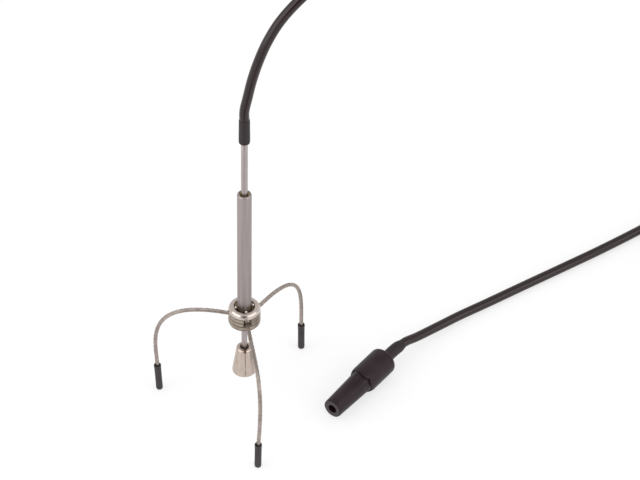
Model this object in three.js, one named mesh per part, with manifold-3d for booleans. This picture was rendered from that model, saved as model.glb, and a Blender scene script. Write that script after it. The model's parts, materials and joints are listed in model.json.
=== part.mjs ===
// A hands-free contact probe: a sliding rod in a guide tube, held over the work by a round collar
// on three bendable wire legs, with a flexible lead that ends in a 4 mm line socket.
// Millimetres, +Z up. The probe is laid out round its own upright axis and moved to the part's
// origin, the middle of its footprint, at the end.
import * as THREE from 'three';
import { mergeVertices } from 'three/addons/utils/BufferGeometryUtils.js';
import Module from 'manifold-3d';

const wasm = await Module();
wasm.setup();

// ---- Fits ----
const PRESS = 0.12; // radial gap of a pressed seat
const RUN = 0.2; // radial gap round a piece that slides or turns
const TOUCH = 0.3; // gap between faces that rest on each other

// ---- Collar: a domed cap on a grooved ring, with the legs' heads between them ----
const legRootHeight = 51.2; // height of the legs' centre lines above the surface, at the collar
const rootDrop = 2.8; // depth of those centre lines below the seam of ring and cap
const collarRadius = 7.1;
const ringHeight = 6.8;
const ringFloor = 1.2; // thickness of the ring's floor, which the guide tube stands on
const ringFootIn = 0.65; // how far the ring's rounded foot draws in
const ringFootRise = 1.3;
const capHeight = 2.7;
const rimWidth = 0.85; // the rounded rim between the ball race and the dome's crest
const rimDrop = 0.6;
const raceDepth = 1.3;
const grooveCount = 3;
const groovePitch = 1.5;
const grooveWidth = 0.5;
const grooveDepth = 0.3;
const firstGroove = 2; // height of the lowest groove above the ring's underside
const ballRadius = 0.6;
const ballCount = 4;
const ballPhase = 14; // degrees round from +X to the first ball

// ---- Guide tube and its bushes ----
const guideRadius = 3.15;
const guideBore = 2.15;
const guideLength = 72.8;
const mouthRadius = 1.85; // the tube's mouth is rolled in over the top bush
const mouthDepth = 1;
const mouthChamfer = 0.7;
const topBushLength = 5;
const lowerBushLength = 6;

// ---- Rod, with the lead's end sleeve on top ----
const rodRadius = 1.425;
const rodLowerRadius = 1.3; // turned down below the shoulder that stops the rod's drop
const rodExposed = 28.4; // between the guide's mouth and the sleeve
const rodDrop = 14.2; // travel down from here, until the shoulder meets the lower bush
const rodInBoot = 8;
const crimpCount = 3;
const crimpPitch = 1.1;
const crimpDepth = 0.14;
const bootRadius = 2.42;
const bootLength = 12.3;

// ---- Cone, needle holder and needle ----
const coneGap = 15.3; // between the collar and the cone, the rod's travel up
const coneHeight = 14.5;
const coneTopRadius = 3.6;
const coneBaseRadius = 5.5;
const coneShoulder = 1.1; // radius of the rounded top edge
const coneRim = 0.6; // height of the rounded rim under the widest part
const coneBore = 1.93;
const coneDishRadius = 4.4;
const coneDishDepth = 1;
const slitWidth = 0.28;
const notchWidth = 1.15;
const notchDepth = 2.1;
const slitHeading = -82; // degrees round from +X
const holderTopGap = 1.9; // how far the holder sits below the cone's top
const holderFootGap = 0.15; // and how far its flange, in the dish, stays above the underside
const rodSeatDepth = 4.7;
const needleRadius = 0.4;
const needleSeatDepth = 3.7;
const needleReach = 2.4; // how far the point stands out of the cone
const needlePoint = 2;

// ---- Legs: stranded wire with a crimped head in the collar and a rubber foot ----
const wireRadius = 0.92;
const pivotRadius = 5.25; // distance of the legs' heads from the probe's axis
const headRadius = 1.3;
const headBelow = 1.4; // from the wire's centre line down to the head's underside
const headRoom = 0.3; // above and below the head
const legStraight = 3; // straight wire from the head out past the collar's wall
const swingRoom = 30; // degrees to each side that the collar's slots leave open
const legReach = 35.9; // from head to foot in plan, more or less by leg
const footRadius = 1.54;
const footLength = 14.8;
const footFlat = 0.95; // radius of the flat end that stands on the surface
const footRound = 0.7;
const footLip = 0.1;
const footLipLength = 0.9;
const footSeatDepth = 11.8;

// Each leg: the bearing of its head round the collar, how far the leg is swung from there, its
// foot's lean and reach, and the bend of its wire as shares of that reach: how far out and up, and
// how far down, the bend's two handles pull, and a side bow.
const legs = [
  {
    side: 'left', bearing: 173, swing: 0.6, lean: 2.8, reach: legReach - 2.5,
    out: 1.12, up: 0.103, down: 0.428, bow: -0.013,
  },
  {
    side: 'right', bearing: 31.6, swing: 24.2, lean: -1.2, reach: legReach + 0.5,
    out: 1, up: 0.037, down: 0.42, bow: 0.008,
  },
  {
    side: 'front', bearing: -75, swing: -5.9, lean: 4.2, reach: legReach + 2.15,
    out: 0.779, up: 0.062, down: 0.992, bow: 0.049,
  },
];

// ---- Line socket, lying on the surface ----
const socketTip = [39.55, -12.79]; // the nose's face
const socketHeading = 54.3; // degrees round from +X, from the nose to the lead
const bodyRadius = 6.5;
const bodyLength = 16.7;
const bodyFrontRound = 0.7;
const bodyRearRound = 1.7;
const noseTipRadius = 4.5;
const noseRootRadius = 5.3;
const noseLength = 23;
const noseRound = 0.5;
const spigotRadius = 4.5;
const spigotLength = 6.6;
const mouthBore = 2.05;
const mouthLength = 2.3;
const contactRadius = 2.78;
const contactBore = 2;
const contactDepth = 21;
const contactLength = 22.4;
const cupRadius = 1.5;
const cupBore = 0.9;
const cupLength = 6.5;
const fluteCount = 4;
const fluteRadius = 4;
const fluteDepth = 0.45;
const fluteLength = 12;
const sleeveRadius = 2.85;
const sleeveFit = 0.2;
const sleeveInside = 8; // how much of the sleeve the body hides
const sleeveOutside = 12.6;
const sleeveTurn = 12; // degrees that the sleeve's end bends with the lead

// ---- Lead ----
const leadRadius = 2.15;
const leadStep = 9.5; // length of one step of the free stretches
const coilCentre = [228.88, 117.84];
const coilInner = 17.5; // radius of the innermost turn
const coilPitch = 4.9; // from turn to turn, and from layer to layer
const coilLanding = -68.6; // bearing on the coil where the lead comes down
const coilLeaving = 129; // bearing on the coil where it leaves for the socket
const coilTurns = 3; // whole turns, besides the part turn between those bearings
const coilSteps = 24; // per turn
const coilSides = 6;
const archHeading = 21.4; // the lead arches over in this upright plane
// The rising lead, as distance out and height above the sleeve on the rod.
const archRise = [
  [0, 4.5], [1.33, 11], [3.2, 19.5], [6.09, 29], [10.05, 38.5], [15.5, 47.5], [24, 56.5],
  [36, 65.5], [52, 73.5], [72, 79], [95, 81],
];
// The falling lead, as distance out and height above the surface.
const archFall = [
  [120, 240.5], [144, 232], [163.5, 217.5], [178.5, 199], [190.5, 177], [199.5, 152], [206, 125],
  [211, 96], [216, 66], [222.5, 39.5], [233, 19], [245, 9.8],
];
// The lead on the surface, from the socket to the coil.
const tailRoute = [
  [77.6, 36.1, 5.2], [87.7, 45.1, 3.7], [97.7, 53.6, 2.7], [110, 62.4, 2.4], [126.7, 74.3, 2.3],
  [146.1, 87.9, 2.3], [165.7, 101.8, 2.3], [186.4, 117.4, 2.3],
];

// ---- Heights that follow from those sizes ----
const seamHeight = legRootHeight + rootDrop;
const ringBase = seamHeight - ringHeight;
const capTop = seamHeight + capHeight;
const guideBase = ringBase + ringFloor + TOUCH;
const guideTop = guideBase + guideLength;
const lowerBushTop = guideBase + lowerBushLength;
const rodShoulder = lowerBushTop + TOUCH + rodDrop;
const bootBase = guideTop + rodExposed;
const bootTop = bootBase + bootLength;
const coneTop = ringBase - coneGap;
const coneBase = coneTop - coneHeight;
const holderTop = coneTop - holderTopGap;
const holderBase = coneBase + holderFootGap;
const rodBase = holderTop - rodSeatDepth + TOUCH;
const needleTip = coneBase - needleReach;

// ---- Materials ----
const standard = (color, roughness, metalness) =>
  new THREE.MeshStandardMaterial({ color, roughness, metalness });
const nickel = standard(0xc9bfb4, 0.25, 1);
const satinSteel = standard(0xaaa39c, 0.45, 1);
const wireSteel = standard(0xa59a8c, 0.4, 1);
const ballSteel = standard(0xd8d8d8, 0.12, 1);
const brass = standard(0xb59a5c, 0.35, 1);
const darkSteel = standard(0x6b645e, 0.5, 1);
const blackSleeve = standard(0x2b2a2b, 0.75, 0);
const blackPlastic = standard(0x1e1c1d, 0.55, 0);
const blackRubber = standard(0x2c2a2b, 0.8, 0);
const leadPvc = standard(0x1f1d1e, 0.35, 0);

// ---- Geometry helpers ----
const rad = THREE.MathUtils.degToRad;
const at = (x, y, z) => new THREE.Vector3(x, y, z);
const bearing = (degrees, length = 1, height = 0) =>
  at(length * Math.cos(rad(degrees)), length * Math.sin(rad(degrees)), height);

// Turns a closed profile of [radius, height] points about Z.
function revolve(profile, sides = 40) {
  const points = profile.map(([r, z]) => new THREE.Vector2(Math.max(r, 0), z));
  return new THREE.LatheGeometry(points, sides).rotateX(Math.PI / 2);
}

// A profile of an outside and an inside line, both given upwards, closed into a ring.
const ringProfile = (outside, inside) => [...outside, ...[...inside].reverse(), outside[0]];

// Points on an ellipse's arc, between two angles in degrees from the radial direction.
function arc(r, z, across, up, from, to, steps = 5) {
  return Array.from({ length: steps + 1 }, (_, i) => {
    const angle = rad(from + ((to - from) * i) / steps);
    return [r + across * Math.cos(angle), z + up * Math.sin(angle)];
  });
}

// A rod of the given radius along Z, from one height to another.
const cylinder = (radius, from, to, sides = 24) =>
  revolve([[0, from], [radius, from], [radius, to], [0, to]], sides);

// An upright prism over an outline of [x, y] points.
function prism(outline, from, to) {
  const shape = new THREE.Shape(outline.map(([x, y]) => new THREE.Vector2(x, y)));
  const geometry = new THREE.ExtrudeGeometry(shape, { depth: to - from, bevelEnabled: false });
  return geometry.translate(0, 0, from);
}

// A closed round tube along a curve.
function tube(curve, radius, sides, steps) {
  const section = new THREE.Shape(
    Array.from({ length: sides }, (_, i) => {
      const angle = (2 * Math.PI * i) / sides;
      return new THREE.Vector2(radius * Math.cos(angle), radius * Math.sin(angle));
    }),
  );
  return new THREE.ExtrudeGeometry(section, { steps, extrudePath: curve, bevelEnabled: false });
}

function solid(geometry) {
  const bare = geometry.clone();
  bare.deleteAttribute('normal');
  bare.deleteAttribute('uv');
  const merged = mergeVertices(bare, 1e-4);
  return new wasm.Manifold(
    new wasm.Mesh({
      numProp: 3,
      vertProperties: merged.attributes.position.array,
      triVerts: new Uint32Array(merged.index.array),
    }),
  );
}

function geometryOf(manifold) {
  const mesh = manifold.getMesh();
  const geometry = new THREE.BufferGeometry();
  geometry.setAttribute('position', new THREE.Float32BufferAttribute(mesh.vertProperties, 3));
  geometry.setIndex(Array.from(mesh.triVerts));
  return geometry;
}

// Cuts every tool out of a blank.
function cut(blank, tools) {
  const rest = tools.reduce((left, tool) => left.subtract(solid(tool)), solid(blank));
  return geometryOf(rest);
}

function named(name, geometry, material, z = 0) {
  const mesh = new THREE.Mesh(geometry, material);
  mesh.name = name;
  mesh.position.z = z;
  return mesh;
}

// ---- Collar ----
// The cap: a dome whose top opens into the race in which the balls run round the guide tube.
function collarCap() {
  const race = guideRadius + 2 * ballRadius + RUN;
  const crest = race + rimWidth;
  const under = TOUCH / 2;
  const foot = under + 0.2;
  const dome = arc(crest, foot, collarRadius - crest, capHeight - foot, 0, 90, 6);
  const rim = arc(crest, capHeight - rimDrop, rimWidth, rimDrop, 90, 180, 3).slice(1);
  const outside = [[collarRadius, under], ...dome, ...rim];
  const inside = [
    [guideRadius + RUN, under],
    [guideRadius + RUN, capHeight - raceDepth - 0.3],
    [race - 0.5, capHeight - raceDepth],
    [race, capHeight - raceDepth + 0.4],
  ];
  return named('collar_cap', revolve(ringProfile(outside, inside)), nickel, seamHeight);
}

// The outside of the ring: turned grooves above each other, over a rounded foot.
function ringOutside(top) {
  const foot = collarRadius - ringFootIn;
  const outside = [[foot, 0], ...arc(foot, ringFootRise, ringFootIn, ringFootRise, -70, 0, 4)];
  for (let i = 0; i < grooveCount; i += 1) {
    const middle = firstGroove + i * groovePitch;
    outside.push([collarRadius, middle - grooveWidth / 2]);
    outside.push([collarRadius - grooveDepth, middle]);
    outside.push([collarRadius, middle + grooveWidth / 2]);
  }
  outside.push([collarRadius, top - 0.15], [collarRadius - 0.15, top]);
  return outside;
}

// The slot in which one leg's head turns and its wire swings, seen along the leg's bearing.
function legSlot({ bearing: facing }, top) {
  const height = legRootHeight - ringBase;
  const half = wireRadius + RUN;
  const length = collarRadius;
  const swing = rad(swingRoom);
  const spread = (side) => [
    [-half * side * Math.sin(swing), half * side * Math.cos(swing)],
    [
      length * Math.cos(swing) - half * side * Math.sin(swing),
      side * (length * Math.sin(swing) + half * Math.cos(swing)),
    ],
  ];
  const [nearLeft, farLeft] = spread(1);
  const right = [nearLeft, farLeft].map(([x, y]) => [x, -y]);
  const fan = prism([right[0], right[1], farLeft, nearLeft], height - wireRadius - RUN, top + 1);
  const pocket = cylinder(headRadius + RUN, height - headBelow - headRoom, top + 1);
  const place = (g) => g.translate(pivotRadius, 0, 0).rotateZ(rad(facing));
  return [place(fan), place(pocket)];
}

function clampRing() {
  const top = ringHeight - TOUCH / 2;
  const inside = [
    [rodLowerRadius + 2 * RUN, 0],
    [rodLowerRadius + 2 * RUN, ringFloor],
    [guideRadius + RUN, ringFloor],
    [guideRadius + RUN, top],
  ];
  const blank = revolve(ringProfile(ringOutside(top), inside));
  const slots = legs.flatMap((leg) => legSlot(leg, top));
  return named('clamp_ring', cut(blank, slots), nickel, ringBase);
}

function balls() {
  const centre = guideRadius + RUN / 2 + ballRadius;
  return Array.from({ length: ballCount }, (_, i) => {
    const geometry = new THREE.SphereGeometry(ballRadius, 12, 8).rotateX(Math.PI / 2);
    const ball = named(`ball_${i + 1}`, geometry, ballSteel);
    const height = capTop - raceDepth + ballRadius + TOUCH / 3;
    ball.position.copy(bearing(ballPhase + (360 * i) / ballCount, centre, height));
    return ball;
  });
}

// ---- Guide tube ----
function guideTube() {
  const top = guideLength;
  const outside = [
    [guideRadius - 0.3, 0],
    [guideRadius, 0.3],
    [guideRadius, top - mouthChamfer],
    ...arc(guideRadius - mouthChamfer, top - mouthChamfer, mouthChamfer, mouthChamfer, 30, 90, 3),
  ];
  const inside = [
    [guideBore, 0],
    [guideBore, top - mouthDepth - 0.3],
    [mouthRadius, top - mouthDepth],
    [mouthRadius, top - 0.25],
    [mouthRadius + 0.2, top],
  ];
  return named('guide_tube', revolve(ringProfile(outside, inside), 32), satinSteel, guideBase);
}

function bush(name, length, bore, z) {
  const radius = guideBore - PRESS;
  const outside = [[radius, 0], [radius, length]];
  const inside = [[bore, 0], [bore, length]];
  return named(name, revolve(ringProfile(outside, inside), 24), brass, z);
}

const topBush = () =>
  bush('top_bush', topBushLength, rodRadius + RUN, guideTop - mouthDepth - 0.3 - TOUCH - topBushLength);

const lowerBush = () => bush('lower_bush', lowerBushLength, rodLowerRadius + RUN, guideBase);

// ---- Rod and what it carries ----
function rod() {
  const top = bootBase + rodInBoot - TOUCH;
  const profile = [
    [0, rodBase],
    [rodLowerRadius - 0.2, rodBase],
    [rodLowerRadius, rodBase + 0.2],
    [rodLowerRadius, rodShoulder],
    [rodRadius, rodShoulder + 0.15],
  ];
  for (let i = crimpCount; i >= 1; i -= 1) {
    const middle = bootBase - i * crimpPitch + crimpPitch / 3;
    profile.push([rodRadius, middle - 0.25]);
    profile.push([rodRadius - crimpDepth, middle]);
    profile.push([rodRadius, middle + 0.25]);
  }
  profile.push([rodRadius, top], [0, top]);
  return named('rod', revolve(profile, 20), satinSteel);
}

// The sleeve shrunk over the rod's top end and the lead.
function boot() {
  const profile = [
    [rodRadius + PRESS, 0],
    [bootRadius - 0.15, 0],
    [bootRadius, 0.25],
    [bootRadius, bootLength - 1.6],
    [bootRadius - 0.12, bootLength - 0.4],
    [bootRadius - 0.3, bootLength],
    [0, bootLength],
    [0, rodInBoot],
    [rodRadius + PRESS, rodInBoot],
    [rodRadius + PRESS, 0],
  ];
  return named('boot', revolve(profile, 20), blackSleeve, bootBase);
}

// The split cone: bored through, dished underneath, slit down one side with a notch on top.
function cone() {
  const shoulder = arc(
    coneTopRadius - coneShoulder, coneHeight - coneShoulder, coneShoulder, coneShoulder, 8, 90, 5,
  );
  const outside = [
    [coneBaseRadius - 0.8, 0],
    ...arc(coneBaseRadius - coneRim, coneRim, coneRim, coneRim, -70, 0, 3),
    ...shoulder,
  ];
  const inside = [
    [coneDishRadius, 0],
    [coneDishRadius, coneDishDepth],
    [coneBore, coneDishDepth],
    [coneBore, coneHeight - 0.2],
    [coneBore + 0.2, coneHeight],
  ];
  const wall = (width, from, to) =>
    prism([[1, -width / 2], [8, -width / 2], [8, width / 2], [1, width / 2]], from, to)
      .rotateZ(rad(slitHeading));
  const tools = [
    wall(slitWidth, -1, coneHeight + 1),
    wall(notchWidth, coneHeight - notchDepth, coneHeight + 1),
  ];
  return named('cone', cut(revolve(ringProfile(outside, inside)), tools), nickel, coneBase);
}

// The holder inside the cone: the rod seats in its top, the needle in its foot, and a flange at its
// foot fills the cone's dish.
function needleHolder() {
  const radius = coneBore - PRESS;
  const flange = coneDishRadius - TOUCH;
  const flangeTop = coneDishDepth - TOUCH - holderFootGap;
  const height = holderTop - holderBase;
  const rodSeat = rodLowerRadius + PRESS;
  const needleSeat = needleRadius + PRESS;
  const profile = [
    [0, needleSeatDepth],
    [needleSeat, needleSeatDepth],
    [needleSeat, 0],
    [flange, 0],
    [flange, flangeTop],
    [radius, flangeTop],
    [radius, height],
    [rodSeat, height],
    [rodSeat, height - rodSeatDepth],
    [0, height - rodSeatDepth],
  ];
  return named('needle_holder', revolve(profile, 24), darkSteel, holderBase);
}

function needle() {
  const top = holderBase + needleSeatDepth - TOUCH;
  const profile = [
    [0, needleTip],
    [0.06, needleTip + 0.05],
    [needleRadius, needleTip + needlePoint],
    [needleRadius, top],
    [0, top],
  ];
  return named('needle', revolve(profile, 12), ballSteel);
}

// ---- Legs ----
// Everything about one leg's place: its pivot, its upright plane and its foot's axis.
function legFrame(leg) {
  const along = bearing(leg.bearing + leg.swing);
  const across = at(-along.y, along.x, 0);
  const pivot = bearing(leg.bearing, pivotRadius, legRootHeight);
  const lean = rad(leg.lean);
  const axis = at(0, 0, Math.cos(lean)).addScaledVector(along, Math.sin(lean));
  const foot = at(pivot.x, pivot.y, footFlat * Math.abs(Math.sin(lean)));
  foot.addScaledVector(along, leg.reach);
  return { along, across, pivot, axis, foot };
}

// The wire: straight out of its head, over one bend, and straight down into its foot.
function wirePath(leg) {
  const { along, across, pivot, axis, foot } = legFrame(leg);
  const start = pivot.clone().addScaledVector(along, TOUCH);
  const exit = pivot.clone().addScaledVector(along, legStraight);
  const mouth = foot.clone().addScaledVector(axis, footLength);
  const end = foot.clone().addScaledVector(axis, footLength - footSeatDepth + TOUCH);
  const outHandle = exit.clone().addScaledVector(along, leg.out * leg.reach);
  outHandle.z += leg.up * leg.reach;
  const downHandle = mouth.clone().addScaledVector(axis, leg.down * leg.reach);
  downHandle.addScaledVector(across, leg.bow * leg.reach);
  const path = new THREE.CurvePath();
  path.add(new THREE.LineCurve3(start, exit));
  path.add(new THREE.CubicBezierCurve3(exit, outHandle, downHandle, mouth));
  path.add(new THREE.LineCurve3(mouth, end));
  return path;
}

const legWire = (leg) => named(`leg_${leg.side}`, tube(wirePath(leg), wireRadius, 8, 36), wireSteel);

// The head crimped on the wire: a small barrel that turns in the collar, drilled for the wire.
function legHead(leg) {
  const top = rootDrop - headRoom;
  const barrel = revolve(
    [[0, -headBelow], [headRadius - 0.2, -headBelow], [headRadius, 0.2 - headBelow],
      [headRadius, top - 0.2], [headRadius - 0.2, top], [0, top]],
    16,
  );
  const drill = cylinder(wireRadius + PRESS, 0, headRadius + 1, 16).rotateY(Math.PI / 2);
  const head = named(`head_${leg.side}`, cut(barrel, [drill]), darkSteel);
  head.position.copy(legFrame(leg).pivot);
  head.rotation.z = rad(leg.bearing + leg.swing);
  return head;
}

// The rubber foot: a sleeve with a slight lip, open at the top, round and closed at the bottom.
function legFoot(leg) {
  const { axis, foot } = legFrame(leg);
  const seat = footLength - footSeatDepth;
  const lipFoot = footLength - footLipLength;
  const profile = [
    [0, 0],
    [footFlat, 0],
    ...arc(footRadius - footRound, footRound, footRound, footRound, -55, 0, 3),
    [footRadius, lipFoot - 0.4],
    [footRadius + footLip, lipFoot],
    [footRadius + footLip, footLength],
    [wireRadius + PRESS, footLength],
    [wireRadius + PRESS, seat],
    [0, seat],
  ];
  const mesh = named(`foot_${leg.side}`, revolve(profile, 16), blackRubber);
  mesh.position.copy(foot);
  mesh.quaternion.setFromUnitVectors(at(0, 0, 1), axis);
  return mesh;
}

// ---- Line socket, built upright from the nose's face and then laid down ----
function socketNose() {
  const chamber = contactRadius + PRESS;
  const outside = [
    [noseTipRadius - noseRound, 0],
    ...arc(noseTipRadius - noseRound, noseRound, noseRound, noseRound, -60, 0, 3),
    [noseRootRadius, noseLength],
    [spigotRadius, noseLength],
    [spigotRadius, noseLength + spigotLength],
  ];
  const inside = [
    [mouthBore + 0.3, 0],
    [mouthBore, 0.4],
    [mouthBore, mouthLength],
    [chamber, mouthLength],
    [chamber, noseLength + spigotLength],
  ];
  const flutes = Array.from({ length: fluteCount }, (_, i) => {
    const slope = Math.atan2(noseRootRadius - noseTipRadius, noseLength);
    const cutter = cylinder(fluteRadius, -fluteLength, fluteLength * 0.25).rotateY(-slope * 2.4);
    const outwards = noseRootRadius + fluteRadius - fluteDepth;
    return cutter.translate(outwards, 0, noseLength).rotateZ((Math.PI * (i + 0.5) * 2) / fluteCount);
  });
  return named('socket_nose', cut(revolve(ringProfile(outside, inside), 32), flutes), blackPlastic);
}

function socketContact() {
  const tail = contactLength + cupLength;
  const profile = [
    [contactBore, 0],
    [contactRadius - 0.2, 0],
    [contactRadius, 0.2],
    [contactRadius, contactLength],
    [cupRadius, contactLength],
    [cupRadius, tail],
    [cupBore, tail],
    [cupBore, contactLength + 1.5],
    [0, contactLength + 1.5],
    [0, contactDepth],
    [contactBore, contactDepth],
    [contactBore, 0],
  ];
  return named('socket_contact', revolve(profile, 24), brass, mouthLength + TOUCH);
}

function socketBody() {
  const seat = spigotRadius + PRESS;
  const throat = sleeveRadius + sleeveFit;
  const front = noseLength + TOUCH;
  const outside = [
    ...arc(bodyRadius - bodyFrontRound, bodyFrontRound, bodyFrontRound, bodyFrontRound, -90, 0, 3),
    ...arc(bodyRadius - bodyRearRound, bodyLength - bodyRearRound, bodyRearRound, bodyRearRound, 0, 90, 5),
  ];
  const inside = [
    [seat, 0],
    [seat, spigotLength],
    [throat, spigotLength],
    [throat, bodyLength],
  ];
  return named('socket_body', revolve(ringProfile(outside, inside), 32), blackPlastic, front);
}

// The sleeve's centre line, along Z from inside the body, bending with the lead at its end.
function sleevePath() {
  const rear = noseLength + TOUCH + bodyLength;
  const turn = rad(sleeveTurn);
  const bend = sleeveOutside * 0.4;
  const straight = sleeveOutside - bend;
  const end = at(0, -bend * Math.sin(turn / 2), rear + straight + bend * Math.cos(turn / 2));
  return new THREE.CatmullRomCurve3([
    at(0, 0, rear - sleeveInside),
    at(0, 0, rear),
    at(0, 0, rear + straight),
    end,
  ]);
}

const socketSleeve = () =>
  named('socket_sleeve', tube(sleevePath(), sleeveRadius, 16, 10), blackSleeve);

// Lays the socket down: its own Z runs level, along its heading, and its side stays to the side.
function laySocket(pieces) {
  const level = new THREE.Group();
  level.rotation.y = Math.PI / 2;
  level.add(...pieces);
  const socket = new THREE.Group();
  socket.position.set(...socketTip, bodyRadius);
  socket.rotation.z = rad(socketHeading);
  socket.add(level);
  return socket;
}

// ---- Lead ----
// The coil's centre line, from the bearing where the lead lands, in two layers: the upper one
// winds in, the lead drops a layer in the half turn where it reverses, and the lower one winds out.
function coilPath() {
  const sweep = coilTurns * 360 + coilLeaving - coilLanding;
  const steps = Math.ceil((coilSteps * sweep) / 360);
  const points = Array.from({ length: steps + 1 }, (_, i) => {
    const past = (sweep * i) / steps - sweep / 2;
    const radius = coilInner + (coilPitch * Math.abs(past)) / 360;
    const drop = THREE.MathUtils.smoothstep(past, -90, 90);
    const point = bearing(coilLanding + past + sweep / 2, radius, leadRadius + coilPitch * (1 - drop));
    return point.add(at(...coilCentre, 0));
  });
  const straight = (end, degrees, length) => end.clone().add(bearing(degrees, length));
  points.unshift(straight(points[0], coilLanding + 90, -2 * leadRadius));
  points.push(straight(points.at(-1), coilLeaving + 90, 2 * leadRadius));
  return points;
}

// A wound tube as one unbroken skin of rings, each square to the line between its neighbours.
function woundTube(points, radius, sides) {
  const positions = [];
  points.forEach((point, i) => {
    const before = points[Math.max(i - 1, 0)];
    const after = points[Math.min(i + 1, points.length - 1)];
    const forward = after.clone().sub(before).normalize();
    const level = at(-forward.y, forward.x, 0).normalize();
    const upward = forward.clone().cross(level);
    for (let k = 0; k < sides; k += 1) {
      const angle = (2 * Math.PI * k) / sides;
      const offset = level.clone().multiplyScalar(radius * Math.cos(angle));
      offset.addScaledVector(upward, radius * Math.sin(angle));
      positions.push(...point.clone().add(offset).toArray());
    }
  });
  const faces = [];
  for (let i = 0; i + 1 < points.length; i += 1) {
    for (let k = 0; k < sides; k += 1) {
      const a = i * sides + k;
      const b = i * sides + ((k + 1) % sides);
      faces.push(a, b, a + sides, b, b + sides, a + sides);
    }
  }
  const last = (points.length - 1) * sides;
  for (let k = 1; k + 1 < sides; k += 1) {
    faces.push(0, k + 1, k, last, last + k, last + k + 1);
  }
  const geometry = new THREE.BufferGeometry();
  geometry.setAttribute('position', new THREE.Float32BufferAttribute(positions, 3));
  return geometry.setIndex(faces);
}

// The least gap between the coil's turns, measured on points more than half a turn apart.
function leastGap(points, radius) {
  let least = Infinity;
  for (let i = 0; i < points.length; i += 1) {
    for (let j = i + coilSteps / 2; j + 1 < points.length; j += 1) {
      const stretch = new THREE.Line3(points[j], points[j + 1]);
      const nearest = stretch.closestPointToPoint(points[i], true, at(0, 0, 0));
      least = Math.min(least, nearest.distanceTo(points[i]) - 2 * radius);
    }
  }
  return least;
}

const coil = coilPath();
console.log(`least gap in the coil: ${leastGap(coil, leadRadius).toFixed(2)} mm`);

// A free stretch of lead ends a touching gap short of each piece that it meets.
function freeStretch(name, points) {
  const curve = new THREE.CatmullRomCurve3(points);
  const steps = Math.round(curve.getLength() / leadStep);
  console.log(`${name}: ${curve.getLength().toFixed(0)} mm`);
  return named(name, tube(curve, leadRadius, 8, steps), leadPvc);
}

// The point that lies a given way beyond the end of a line.
const beyond = (end, inner, length) =>
  end.clone().addScaledVector(end.clone().sub(inner).normalize(), length);

function leadArch() {
  const rising = archRise.map(([out, up]) => bearing(archHeading, out, bootTop + up));
  const falling = archFall.map(([out, up]) => bearing(archHeading, out, up));
  return freeStretch('lead_arch', [
    at(0, 0, bootTop + TOUCH),
    ...rising,
    ...falling,
    beyond(coil[0], coil[1], TOUCH + leadRadius),
    beyond(coil[0], coil[1], TOUCH),
  ]);
}

function leadTail(sleeveEnd, sleeveWay) {
  return freeStretch('lead_tail', [
    sleeveEnd.clone().addScaledVector(sleeveWay, TOUCH),
    sleeveEnd.clone().addScaledVector(sleeveWay, TOUCH + leadRadius),
    ...tailRoute.map((point) => at(...point)),
    beyond(coil.at(-1), coil.at(-2), TOUCH + leadRadius),
    beyond(coil.at(-1), coil.at(-2), TOUCH),
  ]);
}

// ---- Assembly ----
const collar = new THREE.Group();
collar.add(collarCap(), clampRing(), ...balls());

const guide = new THREE.Group();
guide.add(guideTube(), topBush(), lowerBush());

const slider = new THREE.Group();
slider.add(rod(), boot(), cone(), needleHolder(), needle());

const stand = new THREE.Group();
legs.forEach((leg) => stand.add(legWire(leg), legHead(leg), legFoot(leg)));

const probe = new THREE.Group();
probe.add(collar, guide, slider, stand);

const socket = laySocket([socketNose(), socketContact(), socketBody(), socketSleeve()]);
socket.updateMatrixWorld(true);
const sleeveFrame = socket.children[0].matrixWorld;
const sleeveEnd = sleevePath().getPoint(1).applyMatrix4(sleeveFrame);
const sleeveWay = sleevePath().getTangent(1).transformDirection(sleeveFrame);

const cord = new THREE.Group();
cord.add(leadArch(), named('lead_coil', woundTube(coil, leadRadius, coilSides), leadPvc));
cord.add(leadTail(sleeveEnd, sleeveWay), socket);

// The part's origin is the middle of the probe's footprint, on the surface that it stands on.
const footprint = new THREE.Box3().setFromObject(probe);
const middle = footprint.getCenter(at(0, 0, 0));
console.log(`probe axis at ${(-middle.x).toFixed(3)}, ${(-middle.y).toFixed(3)}`);

const part = new THREE.Group();
part.add(probe, cord);
part.position.set(-middle.x, -middle.y, 0);

export default part;
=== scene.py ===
# %% [markdown]
# A hands-free contact probe, dressed for its portrait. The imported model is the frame: it says
# where each piece is and which body carries it. Here the turned pieces get their fine surfaces,
# the legs their twisted strands and the lead its smooth jacket, all in the same places.

# %% Load the frame
import json
from math import atan2, ceil, cos, exp, pi, radians, sin, sqrt

import bmesh
import bpy
from mathutils import Matrix, Vector


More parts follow.
